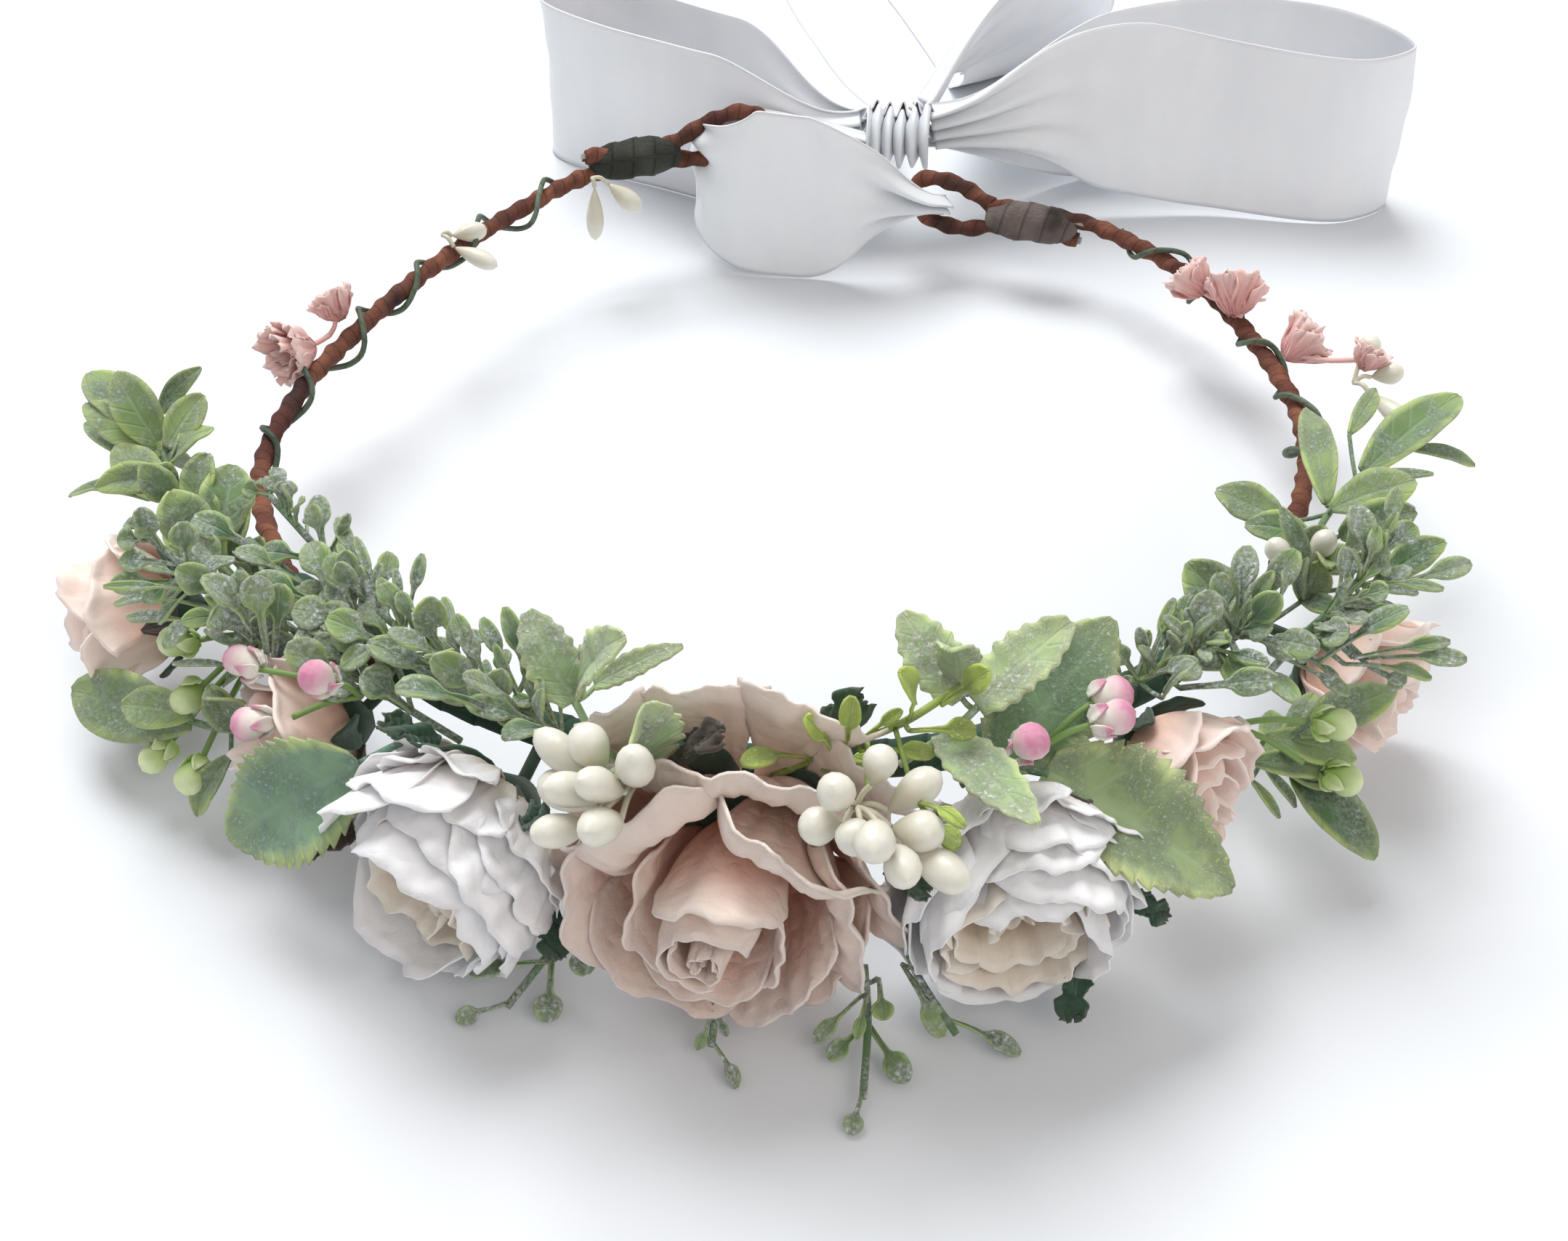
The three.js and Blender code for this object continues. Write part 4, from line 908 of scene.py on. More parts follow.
def add_layer(skin, where, count, phase, spread, rise, reach, curl, ruffle, rng, **shape):
    """A ring of petals, each turned, sized and opened a little differently."""
    for i in range(count):
        turn = phase + 2 * math.pi * i / count + rng.normal(0, 0.1)
        grow = rng.normal(1, shape.get("vary", 0.09))
        add_petal(
            skin, where, turn, spread * rng.normal(1, 0.07),
            (rise[0], rise[1] * grow), (reach[0], reach[1] * rng.normal(1, 0.055)),
            curl * rng.uniform(0.5, 1.5), ruffle, rng, **shape,
        )


def add_calyx(skin, name, rng):
    """The stalk, the cup under the flower, its sepals, and the torn scraps round it."""
    start, axis, level, up, radius, depth, foot = flower_frame(name)
    bend = 0.5 * (foot + start) + 0.4 * axis
    skin.tube(smooth([foot, bend, start + axis], 10), 1.0, 8, deep=1.0)
    cup = [(0, -0.13), (0.12, -0.13), (0.26, -0.05), (0.4, 0.04), (0.36, 0.1), (0, 0.1)]
    scaled = [(across * radius, along * depth) for across, along in cup]
    skin.turned(start, axis, scaled, 14, deep=1.0)
    for i in range(5):
        turn = 2 * math.pi * i / 5 + rng.uniform(-0.2, 0.2)
        out = math.cos(turn) * level + math.sin(turn) * up
        base = start + 0.3 * radius * out + 0.02 * depth * axis
        tip = start + 0.88 * radius * out + 0.24 * depth * axis
        add_leaf(skin, "sepal", base, tip, 0.42 * radius, rng, face=-axis + 0.4 * out)
    for base, tip, width in SCRAPS.get(name, []):
        tip = base + 0.85 * (np.array(tip) - base)
        add_leaf(skin, "scrap", at(base), at(tip), 0.85 * width, rng, thickness=0.5)


def add_bead(skin, foot, tip, radius, rng, sides=14):
    """A drop: a turned body whose radius is sin(pi t^1.45)^0.55 at the share t of its
    length, so that it is fullest past the middle and round at its tip."""
    t = np.linspace(0, 1, 14)
    size = np.linalg.norm(tip - foot)
    across = radius * rng.normal(1, 0.06) * np.sin(np.pi * t**1.45) ** 0.55
    angle = round_angles(sides)
    dents = 1 + 0.03 * np.sin(3 * angle + rng.uniform(0, 6)) * np.sin(np.pi * t)[:, None]
    profile = np.stack([across, t * size], -1)
    skin.turned(foot, tip - foot, profile, sides, dents, tone=rng.uniform(), deep=1.0)


# ---- ribbon --------------------------------------------------------------------
def ribbon_grid(route, widths, across_at, rows, rng, pleats=3.5, lean=None, cols=33, full=1.0):
    """A ribbon strip: points along the route moved across by the width there. Where it
    is narrower than the cloth, the cloth folds into pleats: a sine across the strip
    whose height grows as the width shrinks, times full. A lean adds to the height."""
    path = smooth(route, rows)
    share = np.linspace(0, 1, rows)
    tangent = unit(np.gradient(path, axis=0))
    across = across_at(share, tangent)
    across = unit(across - (across * tangent).sum(-1, keepdims=True) * tangent)
    face = np.cross(across, tangent)
    width = widths(share)
    u = np.linspace(-1, 1, cols)
    tight = 1 - np.clip(width / RIBBON, 0, 1)
    height = full * np.minimum(3.2 * tight**1.2, 0.55 * width + 0.6)
    slow = 0.6 * np.sin(3 * share[:, None] + 2 * u[None, :])
    fold = np.sin(pleats * math.pi * u[None, :] + slow + rng.uniform(0, 3))
    edge = 1 - 0.4 * np.abs(u[None, :]) ** 4
    off = height[:, None] * fold * edge
    off = off + 0.35 * ripple(3 * share[:, None] + 0.8 * u[None, :], rng, 4)
    if lean is not None:
        off = off + lean(share[:, None], u[None, :])
    grid = (
        path[:, None]
        + (0.5 * width[:, None] * u[None, :])[..., None] * across[:, None]
        + off[..., None] * face[:, None]
    )
    run = length_of(path)[:, None] * np.ones(cols)
    return grid, run, u[None, :] * 0.5 * RIBBON * np.ones((rows, 1))


def gathered(low, start, end):
    """Width along a ribbon that is pulled together to the low width at its ends: it
    opens by a smooth step over the start range of shares and, from the other end,
    over the end range."""

    def widths(share):
        opened = np.ones_like(share)
        if start:
            opened = np.minimum(opened, ease(share, *start))
        if end:
            opened = np.minimum(opened, ease(1 - share, *end))
        return low + (RIBBON - low) * opened

    return widths


def upright(share, tangent):
    """Across is straight up."""
    return np.broadcast_to([0.0, 0.0, 1.0], tangent.shape)


def level_across(share, tangent):
    """Across is level and square to the run."""
    flat = np.stack([-tangent[:, 1], tangent[:, 0], np.zeros(len(tangent))], -1)
    return unit(flat)


def ribbon_piece(name, grid, run, across, nodes, body):
    """A strip of ribbon as one closed thin piece, kept above the table."""
    cloth = material("white_satin_ribbon", satin)
    skin = Skin()
    grid[..., 2] = np.maximum(grid[..., 2], 0.2)
    skin.sheet(grid, sizes().ribbon_thickness / MM, along=run, across=across, deep=1.0)
    return finish_piece(name, skin, cloth, nodes, body)


# ---- settings ------------------------------------------------------------------
class CrownSizes(bpy.types.PropertyGroup):
    """Sizes a user would change."""

    ruffle: bpy.props.FloatProperty(
        name="Ruffle",
        description="How wavy the rims of the petals are",
        default=1.0, min=0.0, max=2.0, subtype="FACTOR",
    )
    paper_thickness: bpy.props.FloatProperty(
        name="Paper thickness",
        description="Thickness of one petal",
        default=0.00035, min=0.0001, max=0.001, unit="LENGTH",
    )
    leaf_thickness: bpy.props.FloatProperty(
        name="Leaf thickness",
        description="Thickness of one leaf",
        default=0.00045, min=0.0001, max=0.001, unit="LENGTH",
    )
    ribbon_thickness: bpy.props.FloatProperty(
        name="Ribbon thickness",
        description="Thickness of the satin ribbon",
        default=0.00035, min=0.0001, max=0.001, unit="LENGTH",
    )
    light_strength: bpy.props.FloatProperty(
        name="Light",
        description="Strength of the lights",
        default=1.0, min=0.1, max=4.0, subtype="FACTOR",
    )


def colour_setting(name, description, default):
    """A colour property whose default is a #rrggbb colour."""
    return bpy.props.FloatVectorProperty(
        name=name, description=description, subtype="COLOR", size=4, min=0, max=1,
        default=linear(default),
    )


class CrownColours(bpy.types.PropertyGroup):
    """Colours a user would change."""

    blush: colour_setting("Rose", "Petals of the large rose", "#ffe0d0")
    pale_blush: colour_setting("Spray roses", "Petals of the four small roses", "#f7dace")
    white: colour_setting("Peonies", "Outer petals of the peonies", "#f4f2f4")
    cream: colour_setting("Peony hearts", "Inner petals of the peonies", "#f6e8d4")
    berry: colour_setting("Berries", "Berries and pips", "#e6e3d8")
    cord: colour_setting("Cord", "Paper wound round the wire", "#6f4436")
    ribbon: colour_setting("Ribbon", "Satin ribbon", "#eff1f4")


def sizes():
    """The sizes set for this scene."""
    return bpy.context.scene.crown_sizes


def colours():
    """The colours set for this scene."""
    return bpy.context.scene.crown_colours


# ---- pieces --------------------------------------------------------------------
def tape_wrap(start, end):
    """A binding tape: a turned barrel whose radius grows slowly once round as the
    tape's edge climbs, with three shallow dents round it."""
    skin = Skin()
    s = np.linspace(-TAPE_HALF, TAPE_HALF, 48)
    angle = round_angles(28)
    barrel = np.interp(s, [-9.5, -8.8, -4.7, 3.8, 9, 9.5], [0.3, 0.6, 0.94, 1, 0.62, 0.35])
    climb = (s[:, None] / TAPE_STRIP + angle / (2 * np.pi)) % 1
    dents = 0.95 + 0.07 * climb + 0.03 * np.sin(3 * angle + s[:, None] * 0.7)
    profile = np.stack([TAPE * barrel, s], -1)
    along = (s + TAPE_HALF)[:, None]
    skin.turned(0.5 * (start + end), unit(end - start), profile, 28, dents, along=along)
    return skin


def vine_path(first, last):
    """Wire wound round the ring from one share of its length to another: a circle
    square to the ring, carried along it, that slackens once in every three turns."""
    steps = 2000
    ring = smooth(RING_POINTS, steps)
    turns = round((last - first) * length_of(ring)[-1] / VINE_PITCH)
    i = np.linspace(0, 1, 12 * turns + 1)
    share = first + (last - first) * i
    even = np.linspace(0, 1, steps)
    spot = np.stack([np.interp(share, even, ring[:, k]) for k in range(3)], -1)
    out = unit(spot * [1, 1, 0])
    turn = 2 * np.pi * turns * i
    slack = 1 + 0.4 * np.maximum(0, np.sin(turn / 3)) ** 2
    coil = VINE_COIL * slack * (1 + 0.12 * np.sin(2.3 * turn))
    spot = spot + (coil * np.cos(turn))[:, None] * out
    spot[:, 2] += coil * np.sin(turn)
    return smooth(spot, 28 * turns)


class CROWN_OT_wire(bpy.types.Operator):
    """Ring of paper-wrapped wire, its binding tapes, the vine wire and the stem tape"""

    bl_idname = "crown.wire"
    bl_label = "Wire ring"

    def execute(self, context):
        rng = np.random.default_rng(11)
        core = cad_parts["wire_core"]
        core.data.materials.clear()
        core.data.materials.append(material("bare_steel_wire", steel))

        skin = Skin()
        for points, rows in ((RING_POINTS, 840), (LEFT_EYE, 150), (RIGHT_EYE, 150)):
            path = smooth(points, rows)
            if points is not RING_POINTS:
                path = path[: rows - 2]
            run = length_of(path)[:, None]
            lumps = 1.04 + 0.09 * ripple(run / 9, rng, 6)

            def cord_radius(i, angle, run=run, lumps=lumps):
                """Two strands: a cosine of twice the angle that turns along the wire."""
                twist = 2 * math.pi * run / CORD_LAY
                return CORD * lumps * (0.95 + 0.14 * np.cos(2 * angle + twist))

            skin.tube(path, cord_radius, 12)
        paints = [colours().cord, "#8a5843", "#552f2a", "#2e211f"]
        look = wrapped("rust_paper_cord", paints, CORD_STRIP, 0.4)
        finish_piece("paper_wrap_cord", skin, look, ["paper_wrap"])

        tapes = (
            ("left", LEFT_TAPE_LINE, ["#3a3c36", "#2c2e29", "#4a4c44", "#191a17"]),
            ("right", RIGHT_TAPE_LINE, ["#6d625e", "#5c5250", "#7d736d", "#332d2a"]),
        )
        for side, line, paints in tapes:
            look = wrapped(f"{side}_cloth_tape", paints, TAPE_STRIP, 0.6, 0.95)
            finish_piece(
                f"{side}_tape_wrap", tape_wrap(*line), look,
                [f"{side}_binding_tape"],
            )

        look = wrapped("green_florist_wire", ["#56634f", "#6b7a68", "#3f4a3c"], 3.0, 0.05, 0.55)
        for side, first, last in (("left", 0.055, 0.27), ("right", 0.77, 0.945)):
            skin = Skin()
            skin.tube(vine_path(first, last), VINE, 8)
            finish_piece(f"{side}_vine", skin, look, [f"{side}_vine_wire"])

        skin = Skin()
        path = smooth(SLEEVE, 260)
        run = length_of(path)[:, None]

        def sleeve_radius(i, angle):
            """The tape's edge climbs once round in each strip, over a slow wave."""
            climb = (run / SLEEVE_STRIP + angle / (2 * np.pi)) % 1
            return SLEEVE_RADIUS * (1 + 0.1 * climb + 0.05 * np.sin(run / 7 + angle))

        skin.tube(path, sleeve_radius, 16)
        paints = ["#355040", "#2b4434", "#46604c", "#1d2d24"]
        look = wrapped("green_floral_tape", paints, SLEEVE_STRIP, 0.3)
        finish_piece("stem_tape_wrap", skin, look, ["stem_tape"])
        return {"FINISHED"}


def sepal_look():
    """Torn green paper, with purple at some rims."""
    return paper(
        "torn_sepal_paper", dark="#1d2a22", body="#2c4d38", light="#44523f", warm="#55262f"
    )


def finish_calyx(name, rng):
    """The green parts of one flower as a piece."""
    cup = Skin()
    add_calyx(cup, name, rng)
    finish_piece(f"{name}_sepals", cup, sepal_look(), [f"{name}_calyx"])


class CROWN_OT_rose(bpy.types.Operator):
    """The large blush rose in the middle"""

    bl_idname = "crown.rose"
    bl_label = "Centre rose"

    def execute(self, context):
        rng = np.random.default_rng(21)
        where = flower_frame("rose")
        wavy = sizes().ruffle
        # dark is the colour of the painted shade deep in the rose, and of the paper's mottling; a
        # lower deep gives a petal more painted shade.
        look = paper(
            "blush_mulberry_paper", dark="#e8946c", body=colours().blush, light="#fff2ea",
            warm="#fff0e4", worked=0.3,
        )
        bud = Skin()
        for i, (reach, rise) in enumerate([(0.06, 0.95), (0.11, 0.97), (0.17, 0.99), (0.3, 1.0)]):
            add_petal(
                bud, where, 2.1 * i + 0.4, 2.3, (0.15, rise), (0.12, reach), -0.02 * i,
                0.01 * wavy, rng, overlap=0.04, round=0.06, deep=-0.1, rows=17, cols=35,
                thick=1.43, power=0.5, ragged=0.01,
            )
        finish_piece("rose_bud_petals", bud, look, ["rose_bud"])
        # Each petal: turn in degrees, spread, height, reach and curl of its rim.
        inner = Skin()
        for turn, spread, rise, reach, curl in (
            (92, 1.25, 0.98, 0.38, 0.05), (195, 1.05, 0.86, 0.4, 0.06),
            (338, 1.1, 0.86, 0.42, 0.05), (268, 1.15, 0.88, 0.45, 0.03),
        ):
            add_petal(
                inner, where, math.radians(turn), spread, (0.1, rise), (0.2, reach), curl,
                0.035 * wavy, rng, overlap=0.06, cols=35, thick=2.0, waves=1.5, deep=-0.05,
                power=0.7, round=0.34, ragged=0.015, creased=0.35,
            )
        finish_piece(
            "rose_inner_paper_petals", inner, look, ["rose_inner_petals"]
        )
        outer = Skin()
        for turn, spread, rise, reach, curl in (
            (128, 0.72, 0.9, 0.62, 0.26), (45, 0.78, 0.86, 0.64, 0.3), (182, 0.72, 0.8, 0.74, 0.16),
            (228, 0.85, 0.84, 0.7, 0.04), (298, 0.9, 0.84, 0.7, 0.03), (350, 0.85, 0.8, 0.84, 0.07),
            (262, 0.7, 0.72, 0.78, 0.03), (5, 0.7, 0.6, 0.92, 0.1), (165, 0.7, 0.6, 0.92, 0.12),
            (318, 0.75, 0.62, 0.86, 0.04), (212, 0.7, 0.62, 0.88, 0.05), (92, 0.8, 0.6, 0.8, 0.22),
        ):
            add_petal(
                outer, where, math.radians(turn), spread, (0.03, rise), (0.3, reach), curl,
                0.045 * wavy, rng, overlap=0.07, cols=35, rows=17, thick=2.0, waves=1.5,
                power=0.6, round=0.36, ragged=0.02, deep=0.05, creased=0.45,
            )
        # The narrow petals at the back: turn, reach and height.
        for turn, reach, rise in (
            (42, 1.18, 0.24), (78, 1.2, 0.2), (110, 1.28, 0.24), (138, 1.16, 0.3),
            (20, 1.05, 0.3), (165, 1.02, 0.28),
        ):
            add_petal(
                outer, where, math.radians(turn), 0.36, (0.0, rise), (0.3, reach), 0.08,
                0.035, rng, cols=21, thick=1.71, waves=2, deep=0.5, round=0.5, tone=0.95,
            )
        finish_piece(
            "rose_outer_paper_petals", outer, look, ["rose_outer_petals"]
        )
        finish_calyx("rose", rng)
        return {"FINISHED"}


class CROWN_OT_peonies(bpy.types.Operator):
    """The two white peonies beside the rose"""

    bl_idname = "crown.peonies"
    bl_label = "Peonies"

    def execute(self, context):
        # Each dark is the colour of the painted shade deep in the flower, and of the paper's
        # mottling; the hearts' deep of -0.35 paints them darker with shade.
        white = paper(
            "white_mulberry_paper", dark="#c9b695", body=colours().white, light="#fafafc"
        )
        cream = paper(
            "cream_mulberry_paper", dark="#a97c4c", body=colours().cream, light="#fbf5ea"
        )
        wavy = sizes().ruffle
        for seed, side in enumerate(("left", "right")):
            rng = np.random.default_rng(31 + seed)
            where = flower_frame(f"{side}_peony")
            # Each layer: petals, turn, spread, height, reach and, outside, curl.
            core = Skin()
            for count, phase, spread, top, reach in (
                (2, 0.3, 1.6, 0.8, 0.18), (3, 0.9, 1.3, 0.88, 0.38), (3, 0.2, 1.2, 0.95, 0.6),
            ):
                add_layer(
                    core, where, count, phase, spread, (0.1, top), (0.12, reach), 0.04,
                    0.085 * wavy, rng, ragged=0.012, waves=2, overlap=0.05, deep=-0.35,
                    round=0.15, cols=35, power=0.7, creased=0.25,
                )
            finish_piece(
                f"{side}_peony_heart", core, cream,
                [f"{side}_peony_core"],
            )
            petals = Skin()
            for count, phase, spread, top, reach, curl in (
                (4, 0.1, 1.0, 1.0, 0.74, -0.03), (5, 0.6, 0.85, 0.9, 0.84, 0.0),
                (5, 0.2, 0.75, 0.76, 0.88, 0.05), (6, 0.7, 0.62, 0.58, 0.9, 0.08),
                (6, 0.4, 0.6, 0.4, 0.88, 0.1),
            ):
                add_layer(
                    petals, where, count, phase, spread, (0.03, top), (0.3, reach), curl,
                    0.035 * wavy, rng, ragged=0.015, waves=2, overlap=0.07, cols=33,
                    round=0.3, deep=0.1, power=0.55, rim=0.6, fall=0.4, creased=0.3,
                )
            finish_piece(
                f"{side}_peony_paper_petals", petals, white,
                [f"{side}_peony_petals"],
            )
            finish_calyx(f"{side}_peony", rng)
        return {"FINISHED"}


class CROWN_OT_spray_roses(bpy.types.Operator):
    """The four small blush roses at the ends of the garland"""

    bl_idname = "crown.spray_roses"
    bl_label = "Spray roses"

    def execute(self, context):
        # dark is the colour of the painted shade deep in each small rose, and of the paper's
        # mottling.
        look = paper(
            "pale_blush_mulberry_paper", dark="#d99877", body=colours().pale_blush,
            light="#fdeee7", warm="#fdeee4", worked=0.06,
        )
        wavy = sizes().ruffle
        spots = ("left_inner", "left_outer", "right_inner", "right_outer")
        for seed, spot in enumerate(spots):
            rng = np.random.default_rng(41 + seed)
            where = flower_frame(f"{spot}_spray")
            petals = Skin()
            for count, phase, spread, top, reach, curl in (
                (2, 0.3, 1.7, 0.95, 0.18, 0.02), (3, 1.0, 1.35, 0.98, 0.4, 0.05),
                (4, 0.3, 1.05, 0.94, 0.62, 0.1), (5, 0.8, 0.85, 0.8, 0.86, 0.14),
            ):
                add_layer(
                    petals, where, count, phase, spread, (0.04, top), (0.2, reach), curl,
                    0.025 * wavy, rng, overlap=0.08, cols=25, thick=1.29, round=0.35,
                    power=0.7, waves=1.5, creased=0.1,
                )
            finish_piece(
                f"{spot}_spray_petals", petals, look,
                [f"{spot}_spray_rose"],
            )
            finish_calyx(f"{spot}_spray", rng)
        return {"FINISHED"}


def add_stalks(skin, hub, feet, radius=STALK, deep=1.0):
    """Thin stalks from the place where a bunch starts to the foot of each bead."""
    for foot in feet:
        bend = 0.5 * (hub + foot) + [0, 0, 0.8]
        skin.tube(smooth([hub, bend, foot], 12), radius, 6, along=0.05, tone=0.2, deep=deep)


class CROWN_OT_berries(bpy.types.Operator):
    """The white berries on the rose and the pips by the ends of the ring"""

    bl_idname = "crown.berries"
    bl_label = "Berries"

    def execute(self, context):
        look = bead("waxy_white_berry", "#c9c4b0", colours().berry, 0.38, 0.1)
        for seed, (name, (hub, radius, beads)) in enumerate(BERRIES.items()):
            rng = np.random.default_rng(51 + seed)
            skin = Skin()
            add_stalks(skin, at(hub), [at(foot) for foot, _ in beads])
            for foot, tip in beads:
                add_bead(skin, at(foot), at(tip), radius, rng)
            finish_piece(f"{name}_beads", skin, look, [name])
        return {"FINISHED"}


class CROWN_OT_buds(bpy.types.Operator):
    """The pink and the green buds, each in its sepals"""

    bl_idname = "crown.buds"
    bl_label = "Buds"

    def execute(self, context):
        pink = bead("silk_pink_bud", "#e9e4dc", "#cf7fa0", 0.6, start=0.55)
        green = bead("silk_green_bud", "#9dbb66", "#dce6b8", 0.5)
        for seed, (name, (hub, beads)) in enumerate(BUDS.items()):
            rng = np.random.default_rng(61 + seed)
            rosy = "rose" in name
            skin = Skin()
            ends = [0.6 * at(foot) + 0.4 * at(tip) for foot, tip in beads]
            add_stalks(skin, at(hub), ends, 0.5, 0.2)
            for foot, tip in beads:
                foot, tip = at(foot), at(tip)
                axis = unit(tip - foot)
                if np.linalg.norm(tip - foot) > BUD_LENGTH:
                    foot = tip - BUD_LENGTH * axis
                add_bead(skin, foot, tip, BUD, rng)
                side = unit(np.cross(axis, [0.2, 0.3, 0.9]))
                for i in range(4):
                    turn = math.pi / 2 * i + rng.uniform(-0.3, 0.3)
                    out = math.cos(turn) * side + math.sin(turn) * np.cross(axis, side)
                    start = foot + 0.9 * out
                    end = foot + 2.7 * out + 0.45 * (tip - foot)
                    add_leaf(skin, "sepal", start, end, 2.4, rng, face=out, thickness=0.3)
            finish_piece(f"{name}_heads", skin, pink if rosy else green, [name])
        return {"FINISHED"}


class CROWN_OT_blossoms(bpy.types.Operator):
    """The small ruffled blossoms on the wire"""

    bl_idname = "crown.blossoms"
    bl_label = "Blossoms"

    def execute(self, context):
        # dark is the colour of the painted shade deep in each blossom, and of the paper's mottling.
        look = paper("pink_blossom_paper", dark="#cf7d77", body="#efbab4", light="#f9dcd6")
        for seed, (name, heads) in enumerate(BLOSSOMS.items()):
            rng = np.random.default_rng(71 + seed)
            skin = Skin()
            for foot, base, face, scale in heads:
                start = at(base)
                axis = unit(at(face) - start)
                level = unit(np.cross(axis, [0.1, 0.2, 1]))
                size = BLOSSOM * scale
                where = (start, axis, level, np.cross(level, axis), size, 1.4 * size, at(foot))
                stalk = smooth([at(foot), 0.5 * (at(foot) + start), start + 1.5 * axis], 8)
                skin.tube(stalk, 0.5, 6, along=0.1, deep=0.8)
                for count, top, reach in ((3, 0.85, 0.35), (4, 0.95, 0.6), (5, 0.9, 0.85)):
                    add_layer(
                        skin, where, count, 0.5 * count, 1.0, (-0.1, top), (0.15, reach),
                        0.14, 0.11, rng, waves=4, ragged=0.08, cols=19, rows=9, thick=0.86,
                    )
            finish_piece(f"{name}_ruffles", skin, look, [name])
        return {"FINISHED"}


def along_stem(path, count, rng, size, width):
    """Leaves set along a stem, to its left and right in turn: each points forward,
    outward and up by random shares."""
    spots = []
    for i in range(count):
        k = rng.integers(3, len(path))
        ahead = unit(path[k] - path[k - 3])
        side = unit(np.cross(ahead, [0, 0, 1])) * (1 if i % 2 else -1)
        way = unit(ahead + rng.uniform(0.2, 1.0) * side + [0, 0, rng.uniform(0.0, 0.9)])
        end = path[k] + way * size * rng.uniform(0.6, 1.1)
        spots.append((path[k], end, width * rng.uniform(0.7, 1.1)))
    return spots


def fillers(path, spots, kind, rng):
    """More small leaves along a stem: each takes a listed leaf at random, starts near
    it on the stem and points about as it does, a little shorter."""
    share = MORE_LEAVES.get(kind, 0.0)
    share = share * 1.5 if path[:, 0].mean() < -30 else share  # the left side is denser
    share = share if path[0, 2] > 20 else 0.0  # the hanging sprigs are sparse
    made = []
    for _ in range(int(share * len(spots))):
        base, tip, width = spots[rng.integers(len(spots))]
        run = tip - base
        size = np.linalg.norm(run)
        near = np.argmin(np.linalg.norm(path - base, axis=1))
        foot = path[np.clip(near + rng.integers(-9, 8), 0, len(path) - 1)]
        way = unit(unit(run) + rng.normal(0, 0.5, 3))
        end = foot + way * size * rng.uniform(0.55, 0.95)
        end[2] = np.clip(end[2], 1.0, 56.0)
        made.append((foot, end, width * rng.uniform(0.6, 1.0)))
    return made


class CROWN_OT_leaves(bpy.types.Operator):
    """Every sprig of leaves, with its stem"""

    bl_idname = "crown.leaves"
    bl_label = "Leaves"

    def execute(self, context):
        thick = sizes().leaf_thickness / MM
        for seed, (name, (kind, stem, leaves)) in enumerate(SPRIGS.items()):
            rng = np.random.default_rng(81 + seed)
            skin = Skin()
            parts = [(stem, leaves)]
            if name == "front_hanging_sprig":
                parts.append(MIDDLE_SPRIG)
            if name == "left_inner_sprig":
                parts += [(line, None) for line in COVER_STEMS]
            for points, blades in parts:
                path = smooth(at(points), 24)
                skin.tube(path, STEM, 7, along=0.3, across=0.4, tone=0.2, deep=1.0)
                if blades is None:
                    spots = along_stem(path, 22, rng, 13, 4.2)
                else:
                    spots = [(at(base), at(tip), width) for base, tip, width in blades]
                    spots += fillers(path, spots, kind, rng)
                for foot, tip, width in spots:
                    near = path[np.argmin(np.linalg.norm(path - foot, axis=1))]
                    if np.linalg.norm(near - foot) > 1.0:
                        stalk = smooth([near, 0.5 * (near + foot) - [0, 0, 0.4], foot], 6)
                        skin.tube(stalk, 0.4, 5, along=0.3, across=0.4, tone=0.2, deep=1.0)
                    broad = kind in ("spoon", "bright") and stem[0][2] > 20
                    wide = width * (1.2 if broad else 1.05)
                    add_leaf(skin, kind, foot, tip, wide, rng, thickness=thick)
            finish_piece(f"{name}_blades", skin, leaf_material(kind), [name])
        return {"FINISHED"}


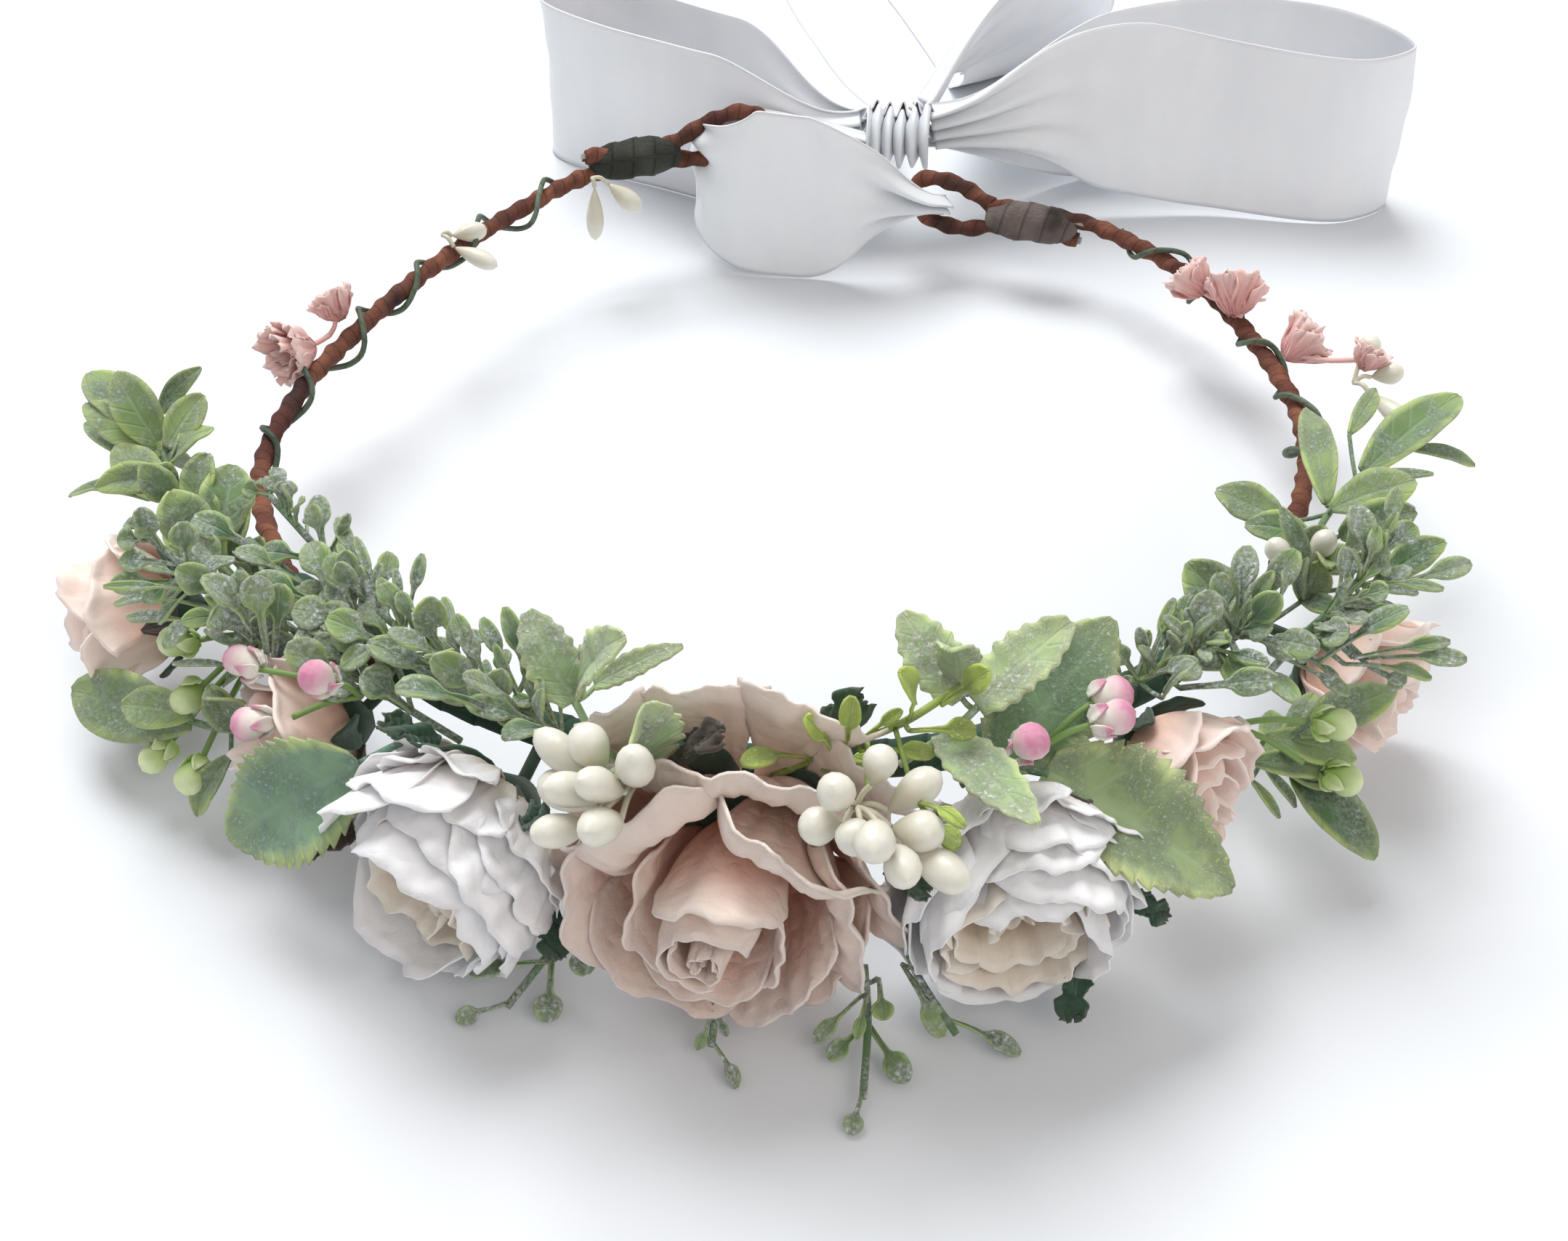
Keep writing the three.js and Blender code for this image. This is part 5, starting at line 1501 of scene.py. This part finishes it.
class CROWN_OT_ribbon(bpy.types.Operator):
    """The satin ribbon: the strap through the eyes, the knot, the loops and the tails"""

    bl_idname = "crown.ribbon"
    bl_label = "Ribbon"

    def execute(self, context):
        rng = np.random.default_rng(91)

        def strap_width(share):
            """Gathered at both eyes, by a smooth step from each end."""
            opened = np.minimum(ease(share, 0.3, 0.57), ease(1 - share, 0.03, 0.32))
            return EYE_GATHER + (RIBBON - EYE_GATHER) * opened

        def bulge(share, u):
            """A crown across the open part of the strap: 1 - u^2."""
            return 2.2 * ease(share, 0.5, 0.7) * ease(1 - share, 0.1, 0.4) * (1 - u * u)

        grid, run, across = ribbon_grid(STRAP, strap_width, upright, 150, rng, 2.5, bulge)
        strap = ribbon_piece("ribbon_strap_satin", grid, run, across, ["ribbon_strap"], "crown")

        def knot_width(share):
            """The same all along."""
            return KNOT_WIDTH + 0 * share

        def along_strap(share, tangent):
            """Across runs from side to side, along the strap behind the knot."""
            return np.broadcast_to([1.0, 0.05, -0.1], tangent.shape)

        def swell(share, u):
            """A crown across the knot, with a slow wave."""
            return 1.1 * (1 - u * u) + 0.3 * np.sin(9 * share + 4 * u)

        turn = np.linspace(0.3, 0.3 + 2.3 * np.pi, 40)
        ring = KNOT + np.stack([0.5 * np.cos(turn), 5.0 * np.cos(turn), 5.4 * np.sin(turn)], -1)
        ring = ring + np.linspace(0, 1.2, 40)[:, None] * unit((ring - KNOT) * [0, 1, 1])
        grid, run, across = ribbon_grid(
            ring, knot_width, along_strap, 110, rng, 5.0, swell, cols=73, full=0.8
        )
        tied = ribbon_piece("ribbon_knot_satin", grid, run, across, ["ribbon_knot"], "crown")

        def sway(share, u):
            """A twist and a belly: sines along the loop, times u and u^2."""
            return 1.6 * np.sin(2 * np.pi * share) * u + 0.8 * np.sin(5 * share * np.pi) * u**2

        # Each loop: its route, its rows, and a start and an end point.
        loops = (
            ("left_loop", LEFT_LOOP, 300, (0.016, 0.102, 0.024), (0.002, 0.102, 0.022)),
            ("right_loop", RIGHT_LOOP, 340, (0.032, 0.102, 0.024), (0.046, 0.102, 0.024)),
        )
        for name, route, rows, start, end in loops:
            widths = gathered(GATHER, (0, 0.2), (0, 0.2))
            grid, run, across = ribbon_grid(route, widths, upright, rows, rng, 3.5, sway)
            loop = ribbon_piece(f"{name}_satin", grid, run, across, [name], None)
            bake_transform(loop)

        def half_raised(share, tangent):
            """Across is tilted up where the tail leaves the knot, and level further on."""
            tilt = (math.radians(62) * ease(1 - share, 0.45, 0.75))[:, None]
            return np.cos(tilt) * level_across(share, tangent) - np.sin(tilt) * [0, 0, 1.0]

        tails = (
            ("left_tail", LEFT_TAIL, 170, level_across,
             (0.0205, 0.108, 0.021), (0.015, 0.118, 0.016)),
            ("right_tail", RIGHT_TAIL, 200, half_raised,
             (0.0275, 0.108, 0.023), (0.034, 0.118, 0.027)),
        )
        for name, route, rows, turned, start, end in tails:
            widths = gathered(GATHER, (0, 0.25), None)
            grid, run, across = ribbon_grid(route, widths, turned, rows, rng, 3.5)
            tail = ribbon_piece(f"{name}_satin", grid, run, across, [name], None)
            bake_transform(tail)
        return {"FINISHED"}


class CROWN_OT_stage(bpy.types.Operator):
    """Pale table, soft light from the back left, and the camera"""

    bl_idname = "crown.stage"
    bl_label = "Stage"

    def execute(self, context):
        scene = context.scene
        mesh = bpy.data.meshes.new("table_floor")
        side = 3.0  # half the table's side, in metres
        corners = [(-side, -side, 0), (side, -side, 0), (side, side, 0), (-side, side, 0)]
        mesh.from_pydata(corners, [], [(0, 1, 2, 3)])
        floor = bpy.data.objects.new("table_floor", mesh)
        scene.collection.objects.link(floor)
        floor.data.materials.append(material("pale_table_paper", table))
        floor.location.z = -0.0002  # just under the lowest piece

        world = bpy.data.worlds.new("soft_daylight")
        world.use_nodes = True
        back = world.node_tree.nodes["Background"]
        back.inputs["Color"].default_value = linear("#f3f4f5")
        back.inputs["Strength"].default_value = 0.56
        scene.world = world
        strength = sizes().light_strength
        # Each lamp: place and size in metres, power in watts, colour.
        lamps = (
            ("window", (-0.4, 0.95, 1.7), 1.2, 41, "#fbfcfd"),
            ("fill", (0.7, -1.0, 1.1), 1.0, 6, "#fff4ea"),
        )
        for name, place, size, power, colour in lamps:
            data = bpy.data.lights.new(name, "AREA")
            data.size, data.energy = size, power * strength
            data.color = linear(colour)[:3]
            lamp = bpy.data.objects.new(name, data)
            lamp.location = place
            aim = -np.array(place) + [0, 0, 0.02]
            tilt = math.atan2(math.hypot(aim[0], aim[1]), -aim[2])
            lamp.rotation_euler = (tilt, 0, math.atan2(aim[0], -aim[1]) + math.pi)
            scene.collection.objects.link(lamp)

        lens = bpy.data.cameras.new("view")
        lens.sensor_width, lens.lens = 36, 49.45
        camera = bpy.data.objects.new("view", lens)
        camera.location = (0, -0.3017, 0.2569)
        camera.rotation_euler = (math.radians(47), 0, 0)
        scene.collection.objects.link(camera)
        scene.camera = camera
        scene.view_settings.view_transform = "Standard"
        return {"FINISHED"}


OPERATORS = (
    CROWN_OT_wire, CROWN_OT_rose, CROWN_OT_peonies, CROWN_OT_spray_roses, CROWN_OT_berries,
    CROWN_OT_buds, CROWN_OT_blossoms, CROWN_OT_leaves, CROWN_OT_ribbon, CROWN_OT_stage,
)


class CROWN_PT_panel(bpy.types.Panel):
    """Lists the sizes, the colours and the operators"""

    bl_idname = "CROWN_PT_panel"
    bl_label = "Flower crown"
    bl_space_type = "VIEW_3D"
    bl_region_type = "UI"
    bl_category = "Crown"

    def draw(self, context):
        for group in (context.scene.crown_sizes, context.scene.crown_colours):
            for name in group.__annotations__:
                self.layout.prop(group, name)
        for operator in OPERATORS:
            self.layout.operator(operator.bl_idname)


CLASSES = (CrownSizes, CrownColours, *OPERATORS, CROWN_PT_panel)


def register():
    """Makes the classes and the settings known."""
    for made in CLASSES:
        bpy.utils.register_class(made)
    bpy.types.Scene.crown_sizes = bpy.props.PointerProperty(type=CrownSizes)
    bpy.types.Scene.crown_colours = bpy.props.PointerProperty(type=CrownColours)


def unregister():
    """Takes them away again."""
    del bpy.types.Scene.crown_sizes, bpy.types.Scene.crown_colours
    for made in reversed(CLASSES):
        bpy.utils.unregister_class(made)


def main():
    """Builds the crown."""
    register()
    bpy.ops.crown.stage()
    bpy.ops.crown.wire()
    bpy.ops.crown.rose()
    bpy.ops.crown.peonies()
    bpy.ops.crown.spray_roses()
    bpy.ops.crown.berries()
    bpy.ops.crown.buds()
    bpy.ops.crown.blossoms()
    bpy.ops.crown.leaves()
    bpy.ops.crown.ribbon()


if __name__ == "__main__":
    main()
